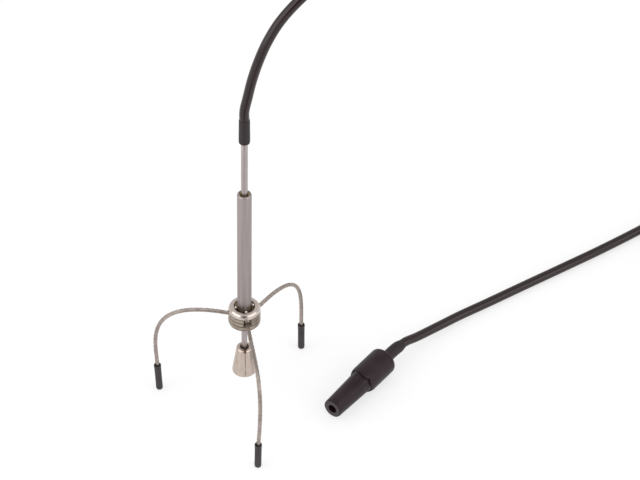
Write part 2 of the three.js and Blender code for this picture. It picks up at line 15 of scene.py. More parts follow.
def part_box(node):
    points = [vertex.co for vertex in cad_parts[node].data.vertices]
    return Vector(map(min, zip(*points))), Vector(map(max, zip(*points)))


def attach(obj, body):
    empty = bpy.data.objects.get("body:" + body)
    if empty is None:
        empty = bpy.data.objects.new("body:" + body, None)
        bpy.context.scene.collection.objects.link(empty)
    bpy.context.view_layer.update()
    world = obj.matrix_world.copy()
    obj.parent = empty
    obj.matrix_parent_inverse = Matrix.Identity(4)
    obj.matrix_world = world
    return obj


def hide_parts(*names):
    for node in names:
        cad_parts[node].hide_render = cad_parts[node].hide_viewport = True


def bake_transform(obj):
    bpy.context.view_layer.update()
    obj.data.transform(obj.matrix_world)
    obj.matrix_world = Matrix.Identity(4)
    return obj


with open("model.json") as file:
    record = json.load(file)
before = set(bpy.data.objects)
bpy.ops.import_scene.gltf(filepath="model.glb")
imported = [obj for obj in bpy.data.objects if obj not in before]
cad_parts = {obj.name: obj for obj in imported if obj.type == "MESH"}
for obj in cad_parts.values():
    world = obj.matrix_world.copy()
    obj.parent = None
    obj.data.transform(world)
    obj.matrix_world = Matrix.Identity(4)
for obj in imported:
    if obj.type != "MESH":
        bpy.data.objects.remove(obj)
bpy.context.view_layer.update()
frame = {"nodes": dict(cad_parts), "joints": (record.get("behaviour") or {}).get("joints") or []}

MM = 0.001  # the sizes below are in millimetres, and the scene is in metres

tube_low, tube_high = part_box("guide_tube")
AXIS_X = (tube_low.x + tube_high.x) / 2 / MM
AXIS_Y = (tube_low.y + tube_high.y) / 2 / MM


def place(x, y, z):
    """A point given in mm round the probe's axis, in the frame's metres."""
    return Vector(((AXIS_X + x) * MM, (AXIS_Y + y) * MM, z * MM))


def bearing(degrees, length=1.0, z=0.0):
    """A point in mm at a compass bearing from +X, seen from above."""
    return Vector((length * cos(radians(degrees)), length * sin(radians(degrees)), z))


# %% [markdown]
# The photograph was taken from well above with a long lens, so the upright probe hardly
# converges. A real camera at that distance gives the same view, where a wide lens close by would
# bend it. The slight roll keeps the probe's own axis upright in the picture.

# %% Camera
LOOK_DOWN = radians(42)  # angle below the horizontal
DISTANCE = 1350  # mm along the view, from the probe's foot
FOCAL_PIXELS = 3000  # focal length in pixels of the 640 wide picture
ROLL = radians(1.3002)
FOOT_PIXEL = (244.4, 397.0)  # where the probe's axis meets the surface
PICTURE = (640, 480)
SENSOR_WIDTH = 36


def make_camera():
    back = Vector((0, -cos(LOOK_DOWN), sin(LOOK_DOWN)))
    level = Vector((1, 0, 0))
    upright = Vector((0, sin(LOOK_DOWN), cos(LOOK_DOWN)))
    right = level * cos(ROLL) + upright * sin(ROLL)
    up = upright * cos(ROLL) - level * sin(ROLL)
    across = (FOOT_PIXEL[0] - PICTURE[0] / 2) / FOCAL_PIXELS * DISTANCE
    above = (PICTURE[1] / 2 - FOOT_PIXEL[1]) / FOCAL_PIXELS * DISTANCE
    spot = back * DISTANCE - right * across - up * above
    data = bpy.data.cameras.new("portrait")
    data.sensor_width = SENSOR_WIDTH
    data.lens = FOCAL_PIXELS / PICTURE[0] * data.sensor_width
    data.clip_start = 0.05
    data.clip_end = 20
    camera = bpy.data.objects.new("portrait", data)
    turn = Matrix((right, up, back)).transposed().to_4x4()
    camera.matrix_world = Matrix.Translation(place(*spot)) @ turn
    bpy.context.scene.collection.objects.link(camera)
    bpy.context.scene.camera = camera
    return camera


camera = make_camera()
print("camera at", [round(x, 3) for x in camera.location], "lens", camera.data.lens)

# %% [markdown]
# A lead is a fixed length of something springy, so its route comes before its surface. It rises
# out of the sleeve on the rod, arches over to the right and comes down beside the view, where the
# length that the photograph does not show lies wound up. Then it runs along the surface to the
# line socket. The open stretches are listed points; the coil is worked out by a loop.

# %% The lead's route
LEAD_DIAMETER = 4.3
LEAD_RADIUS = LEAD_DIAMETER / 2
LEAD_SEAT = 1  # mm of the lead stand inside the sleeve on the rod
BOOT_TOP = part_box("boot")[1].z / MM
ARCH_HEADING = 21.4
# The arch lies in one upright plane. Each point is how far out it is, and how high above the sleeve
# where it rises, or above the surface where it falls.
ARCH_RISE = [
    (0, 4.5), (1.33, 11), (3.2, 19.5), (6.09, 29), (10.05, 38.5), (15.5, 47.5), (24, 56.5),
    (36, 65.5), (52, 73.5), (72, 79), (95, 81),
]
ARCH_FALL = [
    (120, 240.5), (144, 232), (163.5, 217.5), (178.5, 199), (190.5, 177), (199.5, 152), (206, 125),
    (211, 96), (216, 66), (222.5, 39.5), (233, 19), (245, 9.8),
]
COIL_CENTRE = (228.88, 117.84)
COIL_INNER = 17.5
COIL_PITCH = 4.9  # from one turn to the next, and from one layer to the other
COIL_LANDING = -68.6
COIL_LEAVING = 129
COIL_TURNS = 3
TAIL = [
    (186.4, 117.4, 2.3), (165.7, 101.8, 2.3), (146.1, 87.9, 2.3), (126.7, 74.3, 2.3), (110, 62.4, 2.4),
    (97.7, 53.6, 2.7), (87.7, 45.1, 3.7), (77.6, 36.1, 5.2),
]
SOCKET_TIP = (39.55, -12.79)
SOCKET_HEADING = 54.3
SOCKET_HEIGHT = 6.5


def coil_points(per_turn=24):
    """Winds in on the upper layer, drops at the innermost half turn and winds out below."""
    whole = COIL_TURNS * 360 + COIL_LEAVING - COIL_LANDING
    steps = ceil(per_turn * whole / 360)
    points = []
    for i in range(steps + 1):
        past = whole * i / steps - whole / 2
        share = min(max((past + 90) / 180, 0), 1)
        drop = share * share * (3 - 2 * share)
        radius = COIL_INNER + COIL_PITCH * abs(past) / 360
        height = LEAD_RADIUS + COIL_PITCH * (1 - drop)
        points.append(bearing(COIL_LANDING + past + whole / 2, radius, height) + Vector((*COIL_CENTRE, 0)))
    return points


def lead_route():
    rising = [bearing(ARCH_HEADING, out, BOOT_TOP + up) for out, up in ARCH_RISE]
    falling = [bearing(ARCH_HEADING, out, height) for out, height in ARCH_FALL]
    coil = coil_points()
    coil.insert(0, coil[0] + bearing(COIL_LANDING + 90, -LEAD_DIAMETER))
    coil.append(coil[-1] + bearing(COIL_LEAVING + 90, LEAD_DIAMETER))
    tail = [Vector(p) for p in TAIL]
    start = Vector((0, 0, BOOT_TOP - LEAD_SEAT))
    return [start, *rising, *falling, *coil, *tail]


def smooth_line(points, step):
    """Samples a centripetal Catmull-Rom curve through the points, about every step mm."""
    ends = [points[0] * 2 - points[1], *points, points[-1] * 2 - points[-2]]
    line = []
    for p0, p1, p2, p3 in zip(ends, ends[1:], ends[2:], ends[3:]):
        t1 = sqrt((p1 - p0).length)
        t2 = t1 + sqrt((p2 - p1).length)
        t3 = t2 + sqrt((p3 - p2).length)
        count = max(1, round((p2 - p1).length / step))
        for k in range(count):
            t = t1 + (t2 - t1) * k / count
            a1 = p0.lerp(p1, t / t1)
            a2 = p1.lerp(p2, (t - t1) / (t2 - t1))
            a3 = p2.lerp(p3, (t - t2) / (t3 - t2))
            b1 = a1.lerp(a2, t / t2)
            b2 = a2.lerp(a3, (t - t1) / (t3 - t1))
            line.append(b1.lerp(b2, (t - t1) / (t2 - t1)))
    line.append(points[-1].copy())
    return line


def length_of(line):
    return sum((b - a).length for a, b in zip(line, line[1:]))


print("route points", len(lead_route()), "length mm", round(length_of(smooth_line(lead_route(), 2)), 1))

# %% [markdown]
# The jacket is drawn out through a round die, so a sweep of one circle along the route is the
# real process. The rings are carried along without twist, and a UV map runs round and along the
# jacket, so that a finish can follow the lead through every bend.

# %% Sweep the lead
def new_object(name, verts, faces, edges=()):
    mesh = bpy.data.meshes.new(name)
    mesh.from_pydata([tuple(v) for v in verts], edges, faces)
    mesh.validate()
    mesh.update()
    piece = bpy.data.objects.new(name, mesh)
    bpy.context.scene.collection.objects.link(piece)
    return piece


def shade(piece, sharp_degrees=35):
    """Smooth shading, apart from edges sharper than the given angle."""
    piece.data.polygons.foreach_set("use_smooth", [True] * len(piece.data.polygons))
    piece.data.set_sharp_from_angle(angle=radians(sharp_degrees))
    return piece


def sweep(name, line, radii, sides=20):
    """A closed tube round a line of points in mm, with one radius for each point."""
    forward = [(b - a).normalized() for a, b in zip(line, line[1:])]
    forward = [forward[0]] + [(a + b).normalized() for a, b in zip(forward, forward[1:])] + [forward[-1]]
    side = forward[0].orthogonal().normalized()
    verts, along, run = [], [], 0.0
    for i, (spot, way) in enumerate(zip(line, forward)):
        side = (side - way * side.dot(way)).normalized()
        other = way.cross(side)
        run += (spot - line[i - 1]).length if i else 0.0
        along.append(run * MM)
        for k in range(sides):
            angle = 2 * pi * k / sides
            verts.append(place(*(spot + (side * cos(angle) + other * sin(angle)) * radii[i])))
    faces = []
    for i in range(len(line) - 1):
        for k in range(sides):
            n = (k + 1) % sides
            faces.append((i * sides + k, i * sides + n, (i + 1) * sides + n, (i + 1) * sides + k))
    faces.append(tuple(reversed(range(sides))))
    faces.append(tuple((len(line) - 1) * sides + k for k in range(sides)))
    piece = new_object(name, verts, faces)
    layer = piece.data.uv_layers.new(name="jacket")
    corners = []
    for i in range(len(line) - 1):
        for k in range(sides):
            for ring, turn in ((i, k), (i, k + 1), (i + 1, k + 1), (i + 1, k)):
                corners += [turn / sides, along[ring]]
    corners += [0.0, 0.0] * sides + [0.0, along[-1]] * sides
    layer.data.foreach_set("uv", corners)
    return shade(piece)


lead_points = lead_route()

# The lead ends in the socket's sleeve, whose end bends with it.
NOSE_LENGTH = 23
SEAM = 0.3
BODY_LENGTH = 16.7
BODY_FRONT = NOSE_LENGTH + SEAM
BODY_REAR = BODY_FRONT + BODY_LENGTH  # like all of the socket's sizes, in mm from the nose's face
SLEEVE_RADIUS = 2.85
SLEEVE_OUTSIDE = 12.6
SLEEVE_INSIDE = 8
SLEEVE_BENT = 0.4  # share of its open stretch that is bent
SLEEVE_TURN = radians(12)
ENTRY_OUTSIDE = 2.2  # the lead is in line with the sleeve from here, mm before its end,
ENTRY_INSIDE = 1.5  # to here, mm inside it
LEAD_STEP = 1.5

socket_turn = Matrix.Rotation(radians(SOCKET_HEADING), 4, "Z") @ Matrix.Rotation(pi / 2, 4, "Y")
socket_place = Matrix.Translation((*SOCKET_TIP, SOCKET_HEIGHT)) @ socket_turn


def sleeve_points():
    bend = SLEEVE_OUTSIDE * SLEEVE_BENT
    straight = SLEEVE_OUTSIDE - bend
    end = (0, -bend * sin(SLEEVE_TURN / 2), BODY_REAR + straight + bend * cos(SLEEVE_TURN / 2))
    stops = [(0, 0, BODY_REAR - SLEEVE_INSIDE), (0, 0, BODY_REAR), (0, 0, BODY_REAR + straight), end]
    return [socket_place @ Vector(p) for p in stops]


SLEEVE_STEP = 0.5
sleeve_line = smooth_line(sleeve_points(), SLEEVE_STEP)
sleeve_end = sleeve_line[-1]
sleeve_end_way = (sleeve_end - sleeve_line[-2]).normalized()
lead_points += [sleeve_end + sleeve_end_way * ENTRY_OUTSIDE, sleeve_end - sleeve_end_way * ENTRY_INSIDE]
lead_line = smooth_line(lead_points, LEAD_STEP)
lead = sweep("lead", lead_line, [LEAD_RADIUS] * len(lead_line))

# %% [markdown]
# Most pieces here are turned on a lathe, so each is a closed section spun round its own axis. The
# section's corners are rounded first, the way a tool or a tumbler leaves them, because light
# catches a rounded edge and slips off a sharp one.

# %% Spin a section
def rounded(section, steps=4):
    """Rounds the corners of a closed section of (radius, height, rounding), in mm."""
    outline = []
    count = len(section)
    for i, (r, z, *rounding) in enumerate(section):
        corner = Vector((r, z))
        size = rounding[0] if rounding else 0
        before = Vector(section[i - 1][:2]) - corner
        after = Vector(section[(i + 1) % count][:2]) - corner
        if size <= 0:
            outline.append(corner)
            continue
        start = corner + before * min(size / before.length, 0.48)
        end = corner + after * min(size / after.length, 0.48)
        for k in range(steps + 1):
            t = k / steps
            outline.append(start.lerp(corner, t).lerp(corner.lerp(end, t), t))
    return outline


def spun_mesh(section, sides, worked=None):
    """Spins a closed outline round Z. worked may move a point of it, by its angle."""
    mesh = bmesh.new()
    columns = []
    for r, z in section:
        if r < 1e-6:
            columns.append([mesh.verts.new((0, 0, z))])
            continue
        column = []
        for k in range(sides):
            angle = 2 * pi * k / sides
            out, up = worked(r, z, angle) if worked else (r, z)
            column.append(mesh.verts.new((out * cos(angle), out * sin(angle), up)))
        columns.append(column)
    for a, b in zip(columns, columns[1:] + columns[:1]):
        if len(a) == 1 and len(b) == 1:
            continue
        for k in range(sides):
            n = (k + 1) % sides
            corners = [a[k % len(a)], a[n % len(a)], b[n % len(b)], b[k % len(b)]]
            mesh.faces.new(list(dict.fromkeys(corners)))
    bmesh.ops.recalc_face_normals(mesh, faces=mesh.faces)
    return mesh


def spun(name, section, where=None, sides=96, worked=None):
    """A turned piece. where places the lathe's axis, in mm round the probe's axis."""
    mesh = spun_mesh(rounded(section), sides, worked)
    into_frame = Matrix.Scale(MM, 4) @ Matrix.Translation((AXIS_X, AXIS_Y, 0))
    mesh.transform(into_frame @ (where or Matrix.Identity(4)))
    data = bpy.data.meshes.new(name)
    mesh.to_mesh(data)
    mesh.free()
    piece = bpy.data.objects.new(name, data)
    bpy.context.scene.collection.objects.link(piece)
    return shade(piece)


def oval_arc(r, z, across, up, start, end, steps=12):
    """Points of an elliptic arc in the section, between two angles from the radial direction."""
    angles = [radians(start + (end - start) * i / steps) for i in range(steps + 1)]
    return [(r + across * cos(a), z + up * sin(a)) for a in angles]


def heights(node):
    low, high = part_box(node)
    return low.z / MM, high.z / MM


# %% [markdown]
# A finish is more than a colour: a lathe leaves rings, plating varies a little from place to
# place, and a mould gives plastic its grain. Each finish reads the object's own coordinates, so
# it stays put on the piece, and a pattern that runs round a turned piece is centred on its axis.

# %% Finishes for turned metal
def new_finish(name, colour, roughness, metallic=0.0, specular=0.5):
    """A plain material, with its node tree and its shader, for the patterns to be added to."""
    finish = bpy.data.materials.new(name)
    finish.use_nodes = True
    shader = finish.node_tree.nodes["Principled BSDF"]
    shader.inputs["Base Color"].default_value = (*colour, 1)
    shader.inputs["Roughness"].default_value = roughness
    shader.inputs["Metallic"].default_value = metallic
    shader.inputs["Specular IOR Level"].default_value = specular
    return finish, finish.node_tree, shader


def add(tree, kind, operation=None, mode=None, **values):
    """Adds a node and sets its inputs by name, with _ for a space, or by number, as in_0."""
    node = tree.nodes.new(kind)
    if operation:
        node.operation = operation
    if mode:
        node.mode = mode
    for key, value in values.items():
        socket = int(key[3:]) if key.startswith("in_") else key.replace("_", " ")
        if isinstance(value, bpy.types.NodeSocket):
            tree.links.new(value, node.inputs[socket])
        else:
            node.inputs[socket].default_value = value
    return node


def ramp(tree, factor, low, high, start=0.3, end=0.7):
    """Maps a factor to a range of greys or colours."""
    node = tree.nodes.new("ShaderNodeValToRGB")
    tree.links.new(factor, node.inputs["Fac"])
    for element, position, value in zip(node.color_ramp.elements, (start, end), (low, high)):
        element.position = position
        element.color = (*value, 1) if hasattr(value, "__len__") else (value, value, value, 1)
    return node.outputs["Color"]


def bump(tree, shader, height, depth_mm, under=None):
    """Puts a bump on the shader, on top of the one under it where there is one."""
    node = add(tree, "ShaderNodeBump", Height=height, Strength=1.0, Distance=depth_mm * MM)
    if under:
        tree.links.new(under.outputs["Normal"], node.inputs["Normal"])
    tree.links.new(node.outputs["Normal"], shader.inputs["Normal"])
    return node


def own_coordinates(tree, shift=(0, 0, 0)):
    """Object coordinates in mm, moved so that the given point in mm is their origin."""
    spot = add(tree, "ShaderNodeTexCoord").outputs["Object"]
    scaled = add(tree, "ShaderNodeVectorMath", "SCALE", in_0=spot, Scale=1 / MM).outputs[0]
    return add(tree, "ShaderNodeVectorMath", "SUBTRACT", in_0=scaled, in_1=shift).outputs[0]


def lathe_rings(tree, spot, pitch_mm):
    """Noise that varies with the radius and the height only, as a cutting tool's marks do."""
    parts = add(tree, "ShaderNodeSeparateXYZ", Vector=spot).outputs
    flat = add(tree, "ShaderNodeCombineXYZ", X=parts["X"], Y=parts["Y"]).outputs[0]
    radius = add(tree, "ShaderNodeVectorMath", "LENGTH", in_0=flat).outputs["Value"]
    line = add(tree, "ShaderNodeCombineXYZ", X=radius, Z=parts["Z"]).outputs[0]
    noise = add(tree, "ShaderNodeTexNoise", Vector=line, Scale=1 / pitch_mm, Detail=3.0)
    return noise.outputs["Fac"]


def turned_metal(
    name, dark, light, smooth, rough, pitch_mm=0.12, depth_mm=0.002, blotch_mm=3.0, drawn=1, metallic=1.0
):
    """Turned and plated metal: rings from the tool, and a tint in blotches, drawn out along Z."""
    finish, tree, shader = new_finish(name, light, rough, metallic)
    spot = own_coordinates(tree, (AXIS_X, AXIS_Y, 0))
    rings = lathe_rings(tree, spot, pitch_mm)
    long = add(tree, "ShaderNodeVectorMath", "MULTIPLY", in_0=spot, in_1=(1, 1, 1 / drawn)).outputs[0]
    blotches = add(tree, "ShaderNodeTexNoise", Vector=long, Scale=1 / blotch_mm, Detail=4.0).outputs["Fac"]
    tree.links.new(ramp(tree, blotches, dark, light), shader.inputs["Base Color"])
    tree.links.new(ramp(tree, rings, smooth, rough), shader.inputs["Roughness"])
    bump(tree, shader, rings, depth_mm)
    return finish


CAP_NICKEL = turned_metal("polished nickel", (0.55, 0.475, 0.44), (0.64, 0.555, 0.51), 0.18, 0.27)
# Brass of the race, darkened with painted shade of its recess round the tube.
RACE_BRASS_PAINTED_SHADE = turned_metal(
    "race brass with painted shade", (0.25, 0.195, 0.11), (0.42, 0.34, 0.19), 0.3, 0.45, metallic=0.7)
RING_NICKEL = turned_metal(
    "turned nickel", (0.27, 0.22, 0.175), (0.40, 0.335, 0.275), 0.24, 0.38, pitch_mm=0.1, depth_mm=0.004)
# Painted shade: darker nickel for the ring's grooves and the cone's bore, where shade falls.
PAINTED_SHADE_NICKEL = turned_metal("nickel with painted shade", (0.18, 0.145, 0.11), (0.26, 0.215, 0.17), 0.4, 0.6)
# Paler than the turned nickel: partly the bare metal under the plating, partly painted light, so that the cut
# slots and the cone's notch don't go dark.
MILLED_NICKEL_PAINTED_LIGHT = turned_metal(
    "milled nickel with painted light", (0.40, 0.33, 0.26), (0.52, 0.44, 0.36), 0.5, 0.65, pitch_mm=0.3, depth_mm=0.004,
    metallic=0.25)
CONE_NICKEL = turned_metal(
    "warm nickel", (0.48, 0.39, 0.34), (0.60, 0.505, 0.445), 0.25, 0.37, pitch_mm=0.15, depth_mm=0.001,
    blotch_mm=0.5, drawn=14)
GUIDE_STEEL = turned_metal(
    "satin guide steel", (0.33, 0.288, 0.282), (0.385, 0.34, 0.335), 0.38, 0.48, pitch_mm=0.1,
    blotch_mm=1.2, drawn=25)
ROD_STEEL = turned_metal(
    "ground rod steel", (0.37, 0.325, 0.32), (0.44, 0.39, 0.382), 0.3, 0.42, pitch_mm=0.08,
    depth_mm=0.001, blotch_mm=0.8, drawn=20)
DARK_STEEL = turned_metal("dark steel", (0.30, 0.255, 0.21), (0.42, 0.37, 0.32), 0.35, 0.5)
BRASS = turned_metal("turned brass", (0.42, 0.32, 0.13), (0.60, 0.48, 0.22), 0.25, 0.4)
BALL_STEEL = turned_metal(
    "ball steel", (0.74, 0.72, 0.69), (0.82, 0.80, 0.78), 0.04, 0.08, pitch_mm=0.3, depth_mm=0.0005)
print("turned metals:", [m.name for m in bpy.data.materials])

# %% [markdown]
# The black pieces are not one black. The socket is moulded with a fine grain, and paler on its
# rubbed face. The sleeves are shrunk on and faintly uneven, the feet are soft and matte, and the
# lead's jacket is smooth with lengthwise drawing marks. Their sheen tells them apart more than
# their colour does.

# %% Finishes for the black pieces
WAVE = 6.0  # mm from one slow wave of a moulded skin to the next
WAVE_DEPTH = 0.02


def grained_black(name, dark, light, smooth, rough, grain_mm, depth_mm):
    """A black skin with a fine grain over slow waves."""
    finish, tree, shader = new_finish(name, light, rough, specular=0.29)
    spot = own_coordinates(tree)
    grain = add(tree, "ShaderNodeTexNoise", Vector=spot, Scale=1 / grain_mm, Detail=6.0).outputs["Fac"]
    waves = add(tree, "ShaderNodeTexNoise", Vector=spot, Scale=1 / WAVE, Detail=2.0).outputs["Fac"]
    tree.links.new(ramp(tree, waves, dark, light), shader.inputs["Base Color"])
    tree.links.new(ramp(tree, grain, smooth, rough), shader.inputs["Roughness"])
    slow = bump(tree, shader, waves, WAVE_DEPTH)
    bump(tree, shader, grain, depth_mm, under=slow)
    return finish


STREAKS = (60, 90, 1)  # round the jacket, and for each metre along it
STREAK_DEPTH = 0.006


def drawn_jacket(name, dark, light, smooth, rough):
    """A drawn jacket: streaks that run along the lead, read from its UV map."""
    finish, tree, shader = new_finish(name, light, rough, specular=0.45)
    spot = add(tree, "ShaderNodeTexCoord").outputs["UV"]
    stretched = add(tree, "ShaderNodeVectorMath", "MULTIPLY", in_0=spot, in_1=STREAKS).outputs[0]
    streaks = add(tree, "ShaderNodeTexNoise", Vector=stretched, Scale=1.0, Detail=3.0).outputs["Fac"]
    tree.links.new(ramp(tree, streaks, dark, light), shader.inputs["Base Color"])
    tree.links.new(ramp(tree, streaks, smooth, rough), shader.inputs["Roughness"])
    bump(tree, shader, streaks, STREAK_DEPTH)
    return finish


SOCKET_BLACK = grained_black(
    "moulded black", (0.013, 0.003, 0.007), (0.023, 0.011, 0.016), 0.38, 0.55, 0.12, 0.01)
FACE_BLACK = grained_black(
    "rubbed face", (0.040, 0.030, 0.035), (0.062, 0.051, 0.056), 0.4, 0.6, 0.12, 0.01)
SLEEVE_BLACK = grained_black(
    "shrunk sleeve", (0.019, 0.012, 0.014), (0.030, 0.021, 0.023), 0.42, 0.6, 0.25, 0.012)
FOOT_BLACK = grained_black(
    "foot rubber", (0.040, 0.034, 0.037), (0.060, 0.052, 0.056), 0.6, 0.8, 0.15, 0.015)
JACKET_BLACK = drawn_jacket("lead jacket", (0.010, 0.002, 0.002), (0.019, 0.006, 0.006), 0.13, 0.22)
blacks = (SOCKET_BLACK, FACE_BLACK, SLEEVE_BLACK, FOOT_BLACK, JACKET_BLACK)
print("black finishes:", [finish.name for finish in blacks])

# %% [markdown]
# A piece may wear several finishes: a paler one with painted light where a cutter has gone through
# the plating, and painted shade in its grooves, its race and its bore. So its faces are sorted by
# their radius and height on the lathe.

# %% Dress a piece
def dress(piece, finish, body, slot, *nodes):
    """Gives a piece its finish, its body and the nodes that it stands for. The slot argument is not used."""
    if not piece.data.materials:
        piece.data.materials.append(finish)
    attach(piece, body)
    if nodes:
        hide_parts(*nodes)
    print(f"{piece.name}: {len(piece.data.polygons)} faces on {body}")
    return piece


def finishes(piece, *choices, where=None):
    """Puts several finishes on a piece, each after the first with a test on radius and height."""
    back = (where or Matrix.Identity(4)).inverted()
    piece.data.materials.append(choices[0])
    for index, (finish, wanted) in enumerate(choices[1:], 1):
        piece.data.materials.append(finish)
        for face in piece.data.polygons:
            spot = back @ (face.center / MM - Vector((AXIS_X, AXIS_Y, 0)))
            if wanted(spot.xy.length, spot.z):
                face.material_index = index
    return piece


def anywhere(r, z):
    return True


def nowhere(r, z):
    return False


print("finishes so far:", len(bpy.data.materials))

# %% [markdown]
# The lead crosses from the sliding rod to the things that lie on the surface. It gets the jacket's
# finish, and the imported lead's pieces are hidden.

# %% Lay the lead
lead.data.materials.append(JACKET_BLACK)
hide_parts("lead_arch", "lead_coil", "lead_tail")
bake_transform(lead)

# %% [markdown]
# The collar is two turned pieces. The cap is a dome whose open middle holds the ball race, and the
# ring below it has three turned grooves and a slot for each leg. Booleans cut the slots, as the
# milling cutter does after the turning. The cut faces get a paler finish, partly the bare metal
# and partly painted light, so that the slots don't go dark.

# %% Collar cap
COLLAR_RADIUS = (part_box("collar_cap")[1].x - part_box("collar_cap")[0].x) / 2 / MM
GUIDE_RADIUS = (tube_high.x - tube_low.x) / 2 / MM
RUN = 0.2  # clearance round whatever turns or swings
RACE_RADIUS = 4.55
RACE_DEPTH = 1.3
RACE_STEP = 0.5  # the race's wall comes in by this at its floor,
RACE_CORNER = 0.4  # from this high above it,
RACE_FALL = 0.3  # and the floor falls by this towards the tube
RIM_WIDTH = 0.85
RIM_DROP = 0.6
CAP_EDGE = 0.25  # straight edge under the dome
CAP_BREAK = 0.05


def collar_cap():
    low, high = heights("collar_cap")
    crest = RACE_RADIUS + RIM_WIDTH
    bore = GUIDE_RADIUS + RUN
    race_floor = high - RACE_DEPTH
    dome = oval_arc(crest, low + CAP_EDGE, COLLAR_RADIUS - crest, high - low - CAP_EDGE, 0, 90, 16)
    rim = oval_arc(crest, high - RIM_DROP, RIM_WIDTH, RIM_DROP, 90, 180, 8)[1:]
    section = [
        (bore, low, 0.05), (COLLAR_RADIUS - CAP_BREAK, low, 0.04), (COLLAR_RADIUS, low + 0.08),
        *dome, *rim, (RACE_RADIUS, race_floor + RACE_CORNER, 0.3), (RACE_RADIUS - RACE_STEP, race_floor, 0.3),
        (bore, race_floor - RACE_FALL, 0.05),
    ]
    cap = spun("collar_cap_fine", section, sides=128)
    # The race gets its brass, darkened with painted shade.
    race = (RACE_BRASS_PAINTED_SHADE, lambda r, z: r < RACE_RADIUS + 0.05 and z > low + 0.5)
    return finishes(cap, CAP_NICKEL, race)


dress(collar_cap(), CAP_NICKEL, "collar", "nickel", "collar_cap")

# %% [markdown]
# Balls are spaced evenly round a circle, which is a rule and not a list of places. So one small
# Geometry Nodes tree makes them: a ball on every point of a circle, made real at the end.

# %% Balls of the race
BALL_COUNT = 4
BALL_RADIUS = 0.6
BALL_CIRCLE = 3.85
BALL_PHASE = 14  # degrees from +X to the first ball

SOCKET_KINDS = {int: "NodeSocketInt", float: "NodeSocketFloat", tuple: "NodeSocketVector"}


def open_sockets(tree, **inputs):
    """Gives a tree its named inputs, each of its value's own kind, and one output."""
    for label, value in inputs.items():
        socket = tree.interface.new_socket(label, in_out="INPUT", socket_type=SOCKET_KINDS[type(value)])
        socket.default_value = value
    tree.interface.new_socket("Geometry", in_out="OUTPUT", socket_type="NodeSocketGeometry")


def ball_tree():
    """Geometry Nodes: balls spaced round a circle, as the race spaces them."""
    tree = bpy.data.node_groups.new("ball race", "GeometryNodeTree")
    open_sockets(tree, Count=BALL_COUNT, Circle=1.0, Ball=1.0, Phase=0.0, Centre=(0.0, 0.0, 0.0))
    given = tree.nodes.new("NodeGroupInput").outputs
    circle = add(tree, "GeometryNodeMeshCircle", Vertices=given["Count"], Radius=given["Circle"])
    turn = add(tree, "ShaderNodeCombineXYZ", Z=given["Phase"]).outputs[0]
    placed = add(
        tree, "GeometryNodeTransform", Geometry=circle.outputs[0], Translation=given["Centre"], Rotation=turn)
    ball = add(tree, "GeometryNodeMeshUVSphere", Segments=32, Rings=20, Radius=given["Ball"])
    dots = add(tree, "GeometryNodeInstanceOnPoints", Points=placed.outputs[0], Instance=ball.outputs[0])
    real = add(tree, "GeometryNodeRealizeInstances", Geometry=dots.outputs[0])
    smooth = add(tree, "GeometryNodeSetShadeSmooth", Geometry=real.outputs[0])
    finished = add(tree, "GeometryNodeSetMaterial", Geometry=smooth.outputs[0], Material=BALL_STEEL)
    add(tree, "NodeGroupOutput", Geometry=finished.outputs[0])
    return tree


def grown(name, tree, inputs, base=None):
    """Runs a Geometry Nodes tree on an object and keeps its result as a plain mesh."""
    host = base or new_object(name + "_host", [], [])
    modifier = host.modifiers.new("grow", "NODES")
    modifier.node_group = tree
    for item in tree.interface.items_tree:
        if item.item_type == "SOCKET" and item.in_out == "INPUT" and item.name in inputs:
            modifier[item.identifier] = inputs[item.name]
    bpy.context.view_layer.update()
    evaluated = host.evaluated_get(bpy.context.evaluated_depsgraph_get())
    data = bpy.data.meshes.new_from_object(evaluated)
    data.name = name
    host.modifiers.remove(modifier)
    bpy.data.objects.remove(host)
    piece = bpy.data.objects.new(name, data)
    bpy.context.scene.collection.objects.link(piece)
    return piece


ball_low, ball_high = heights("ball_1")
balls = grown("race_balls", ball_tree(), {
    "Count": BALL_COUNT, "Circle": BALL_CIRCLE * MM, "Ball": BALL_RADIUS * MM, "Phase": radians(BALL_PHASE),
    "Centre": place(0, 0, (ball_low + ball_high) / 2),
})
dress(balls, BALL_STEEL, "collar", "ball_steel", *(f"ball_{i + 1}" for i in range(BALL_COUNT)))

# %% [markdown]
# The ring's foot is rounded, and three grooves run round it: one in the foot and two above. Each
# leg needs a slot that opens outwards like a fan, for its swing, and a round pocket at its inner
# end for the head on which it turns. Both are open to the top, where the cap covers them.

# %% Cutters for the legs' slots
RING_LOW, RING_HIGH = heights("clamp_ring")
ROOT_HEIGHT = 51.2  # of the legs' centre lines at the collar
WIRE_RADIUS = 0.92
HEAD_RADIUS = 1.3
HEAD_BELOW = 1.4
HEAD_CLEARANCE = 0.3
SWING_ROOM = 30  # degrees to either side


def leg_pivot(side):
    joint = next(j for j in frame["joints"] if j["name"] == "leg_swing_" + side)
    spot = Vector(joint["pos_m"]) / MM - Vector((AXIS_X, AXIS_Y, 0))
    return Vector((spot.x, spot.y, ROOT_HEIGHT))


def cutter_prism(name, outline, low, high, where):
    """An upright prism over an outline in mm. Its faces carry the cut piece's second finish, paler with
    painted light.
    """
    count = len(outline)
    verts = [Vector((x, y, z)) for z in (low, high) for x, y in outline]
    faces = [tuple(reversed(range(count))), tuple(range(count, 2 * count))]
    faces += [(i, (i + 1) % count, count + (i + 1) % count, count + i) for i in range(count)]
    cutter = new_object(name, [place(*(where @ v)) for v in verts], faces)
    # The cut faces get the milled finish with painted light.
    return finishes(cutter, MILLED_NICKEL_PAINTED_LIGHT, (MILLED_NICKEL_PAINTED_LIGHT, anywhere))


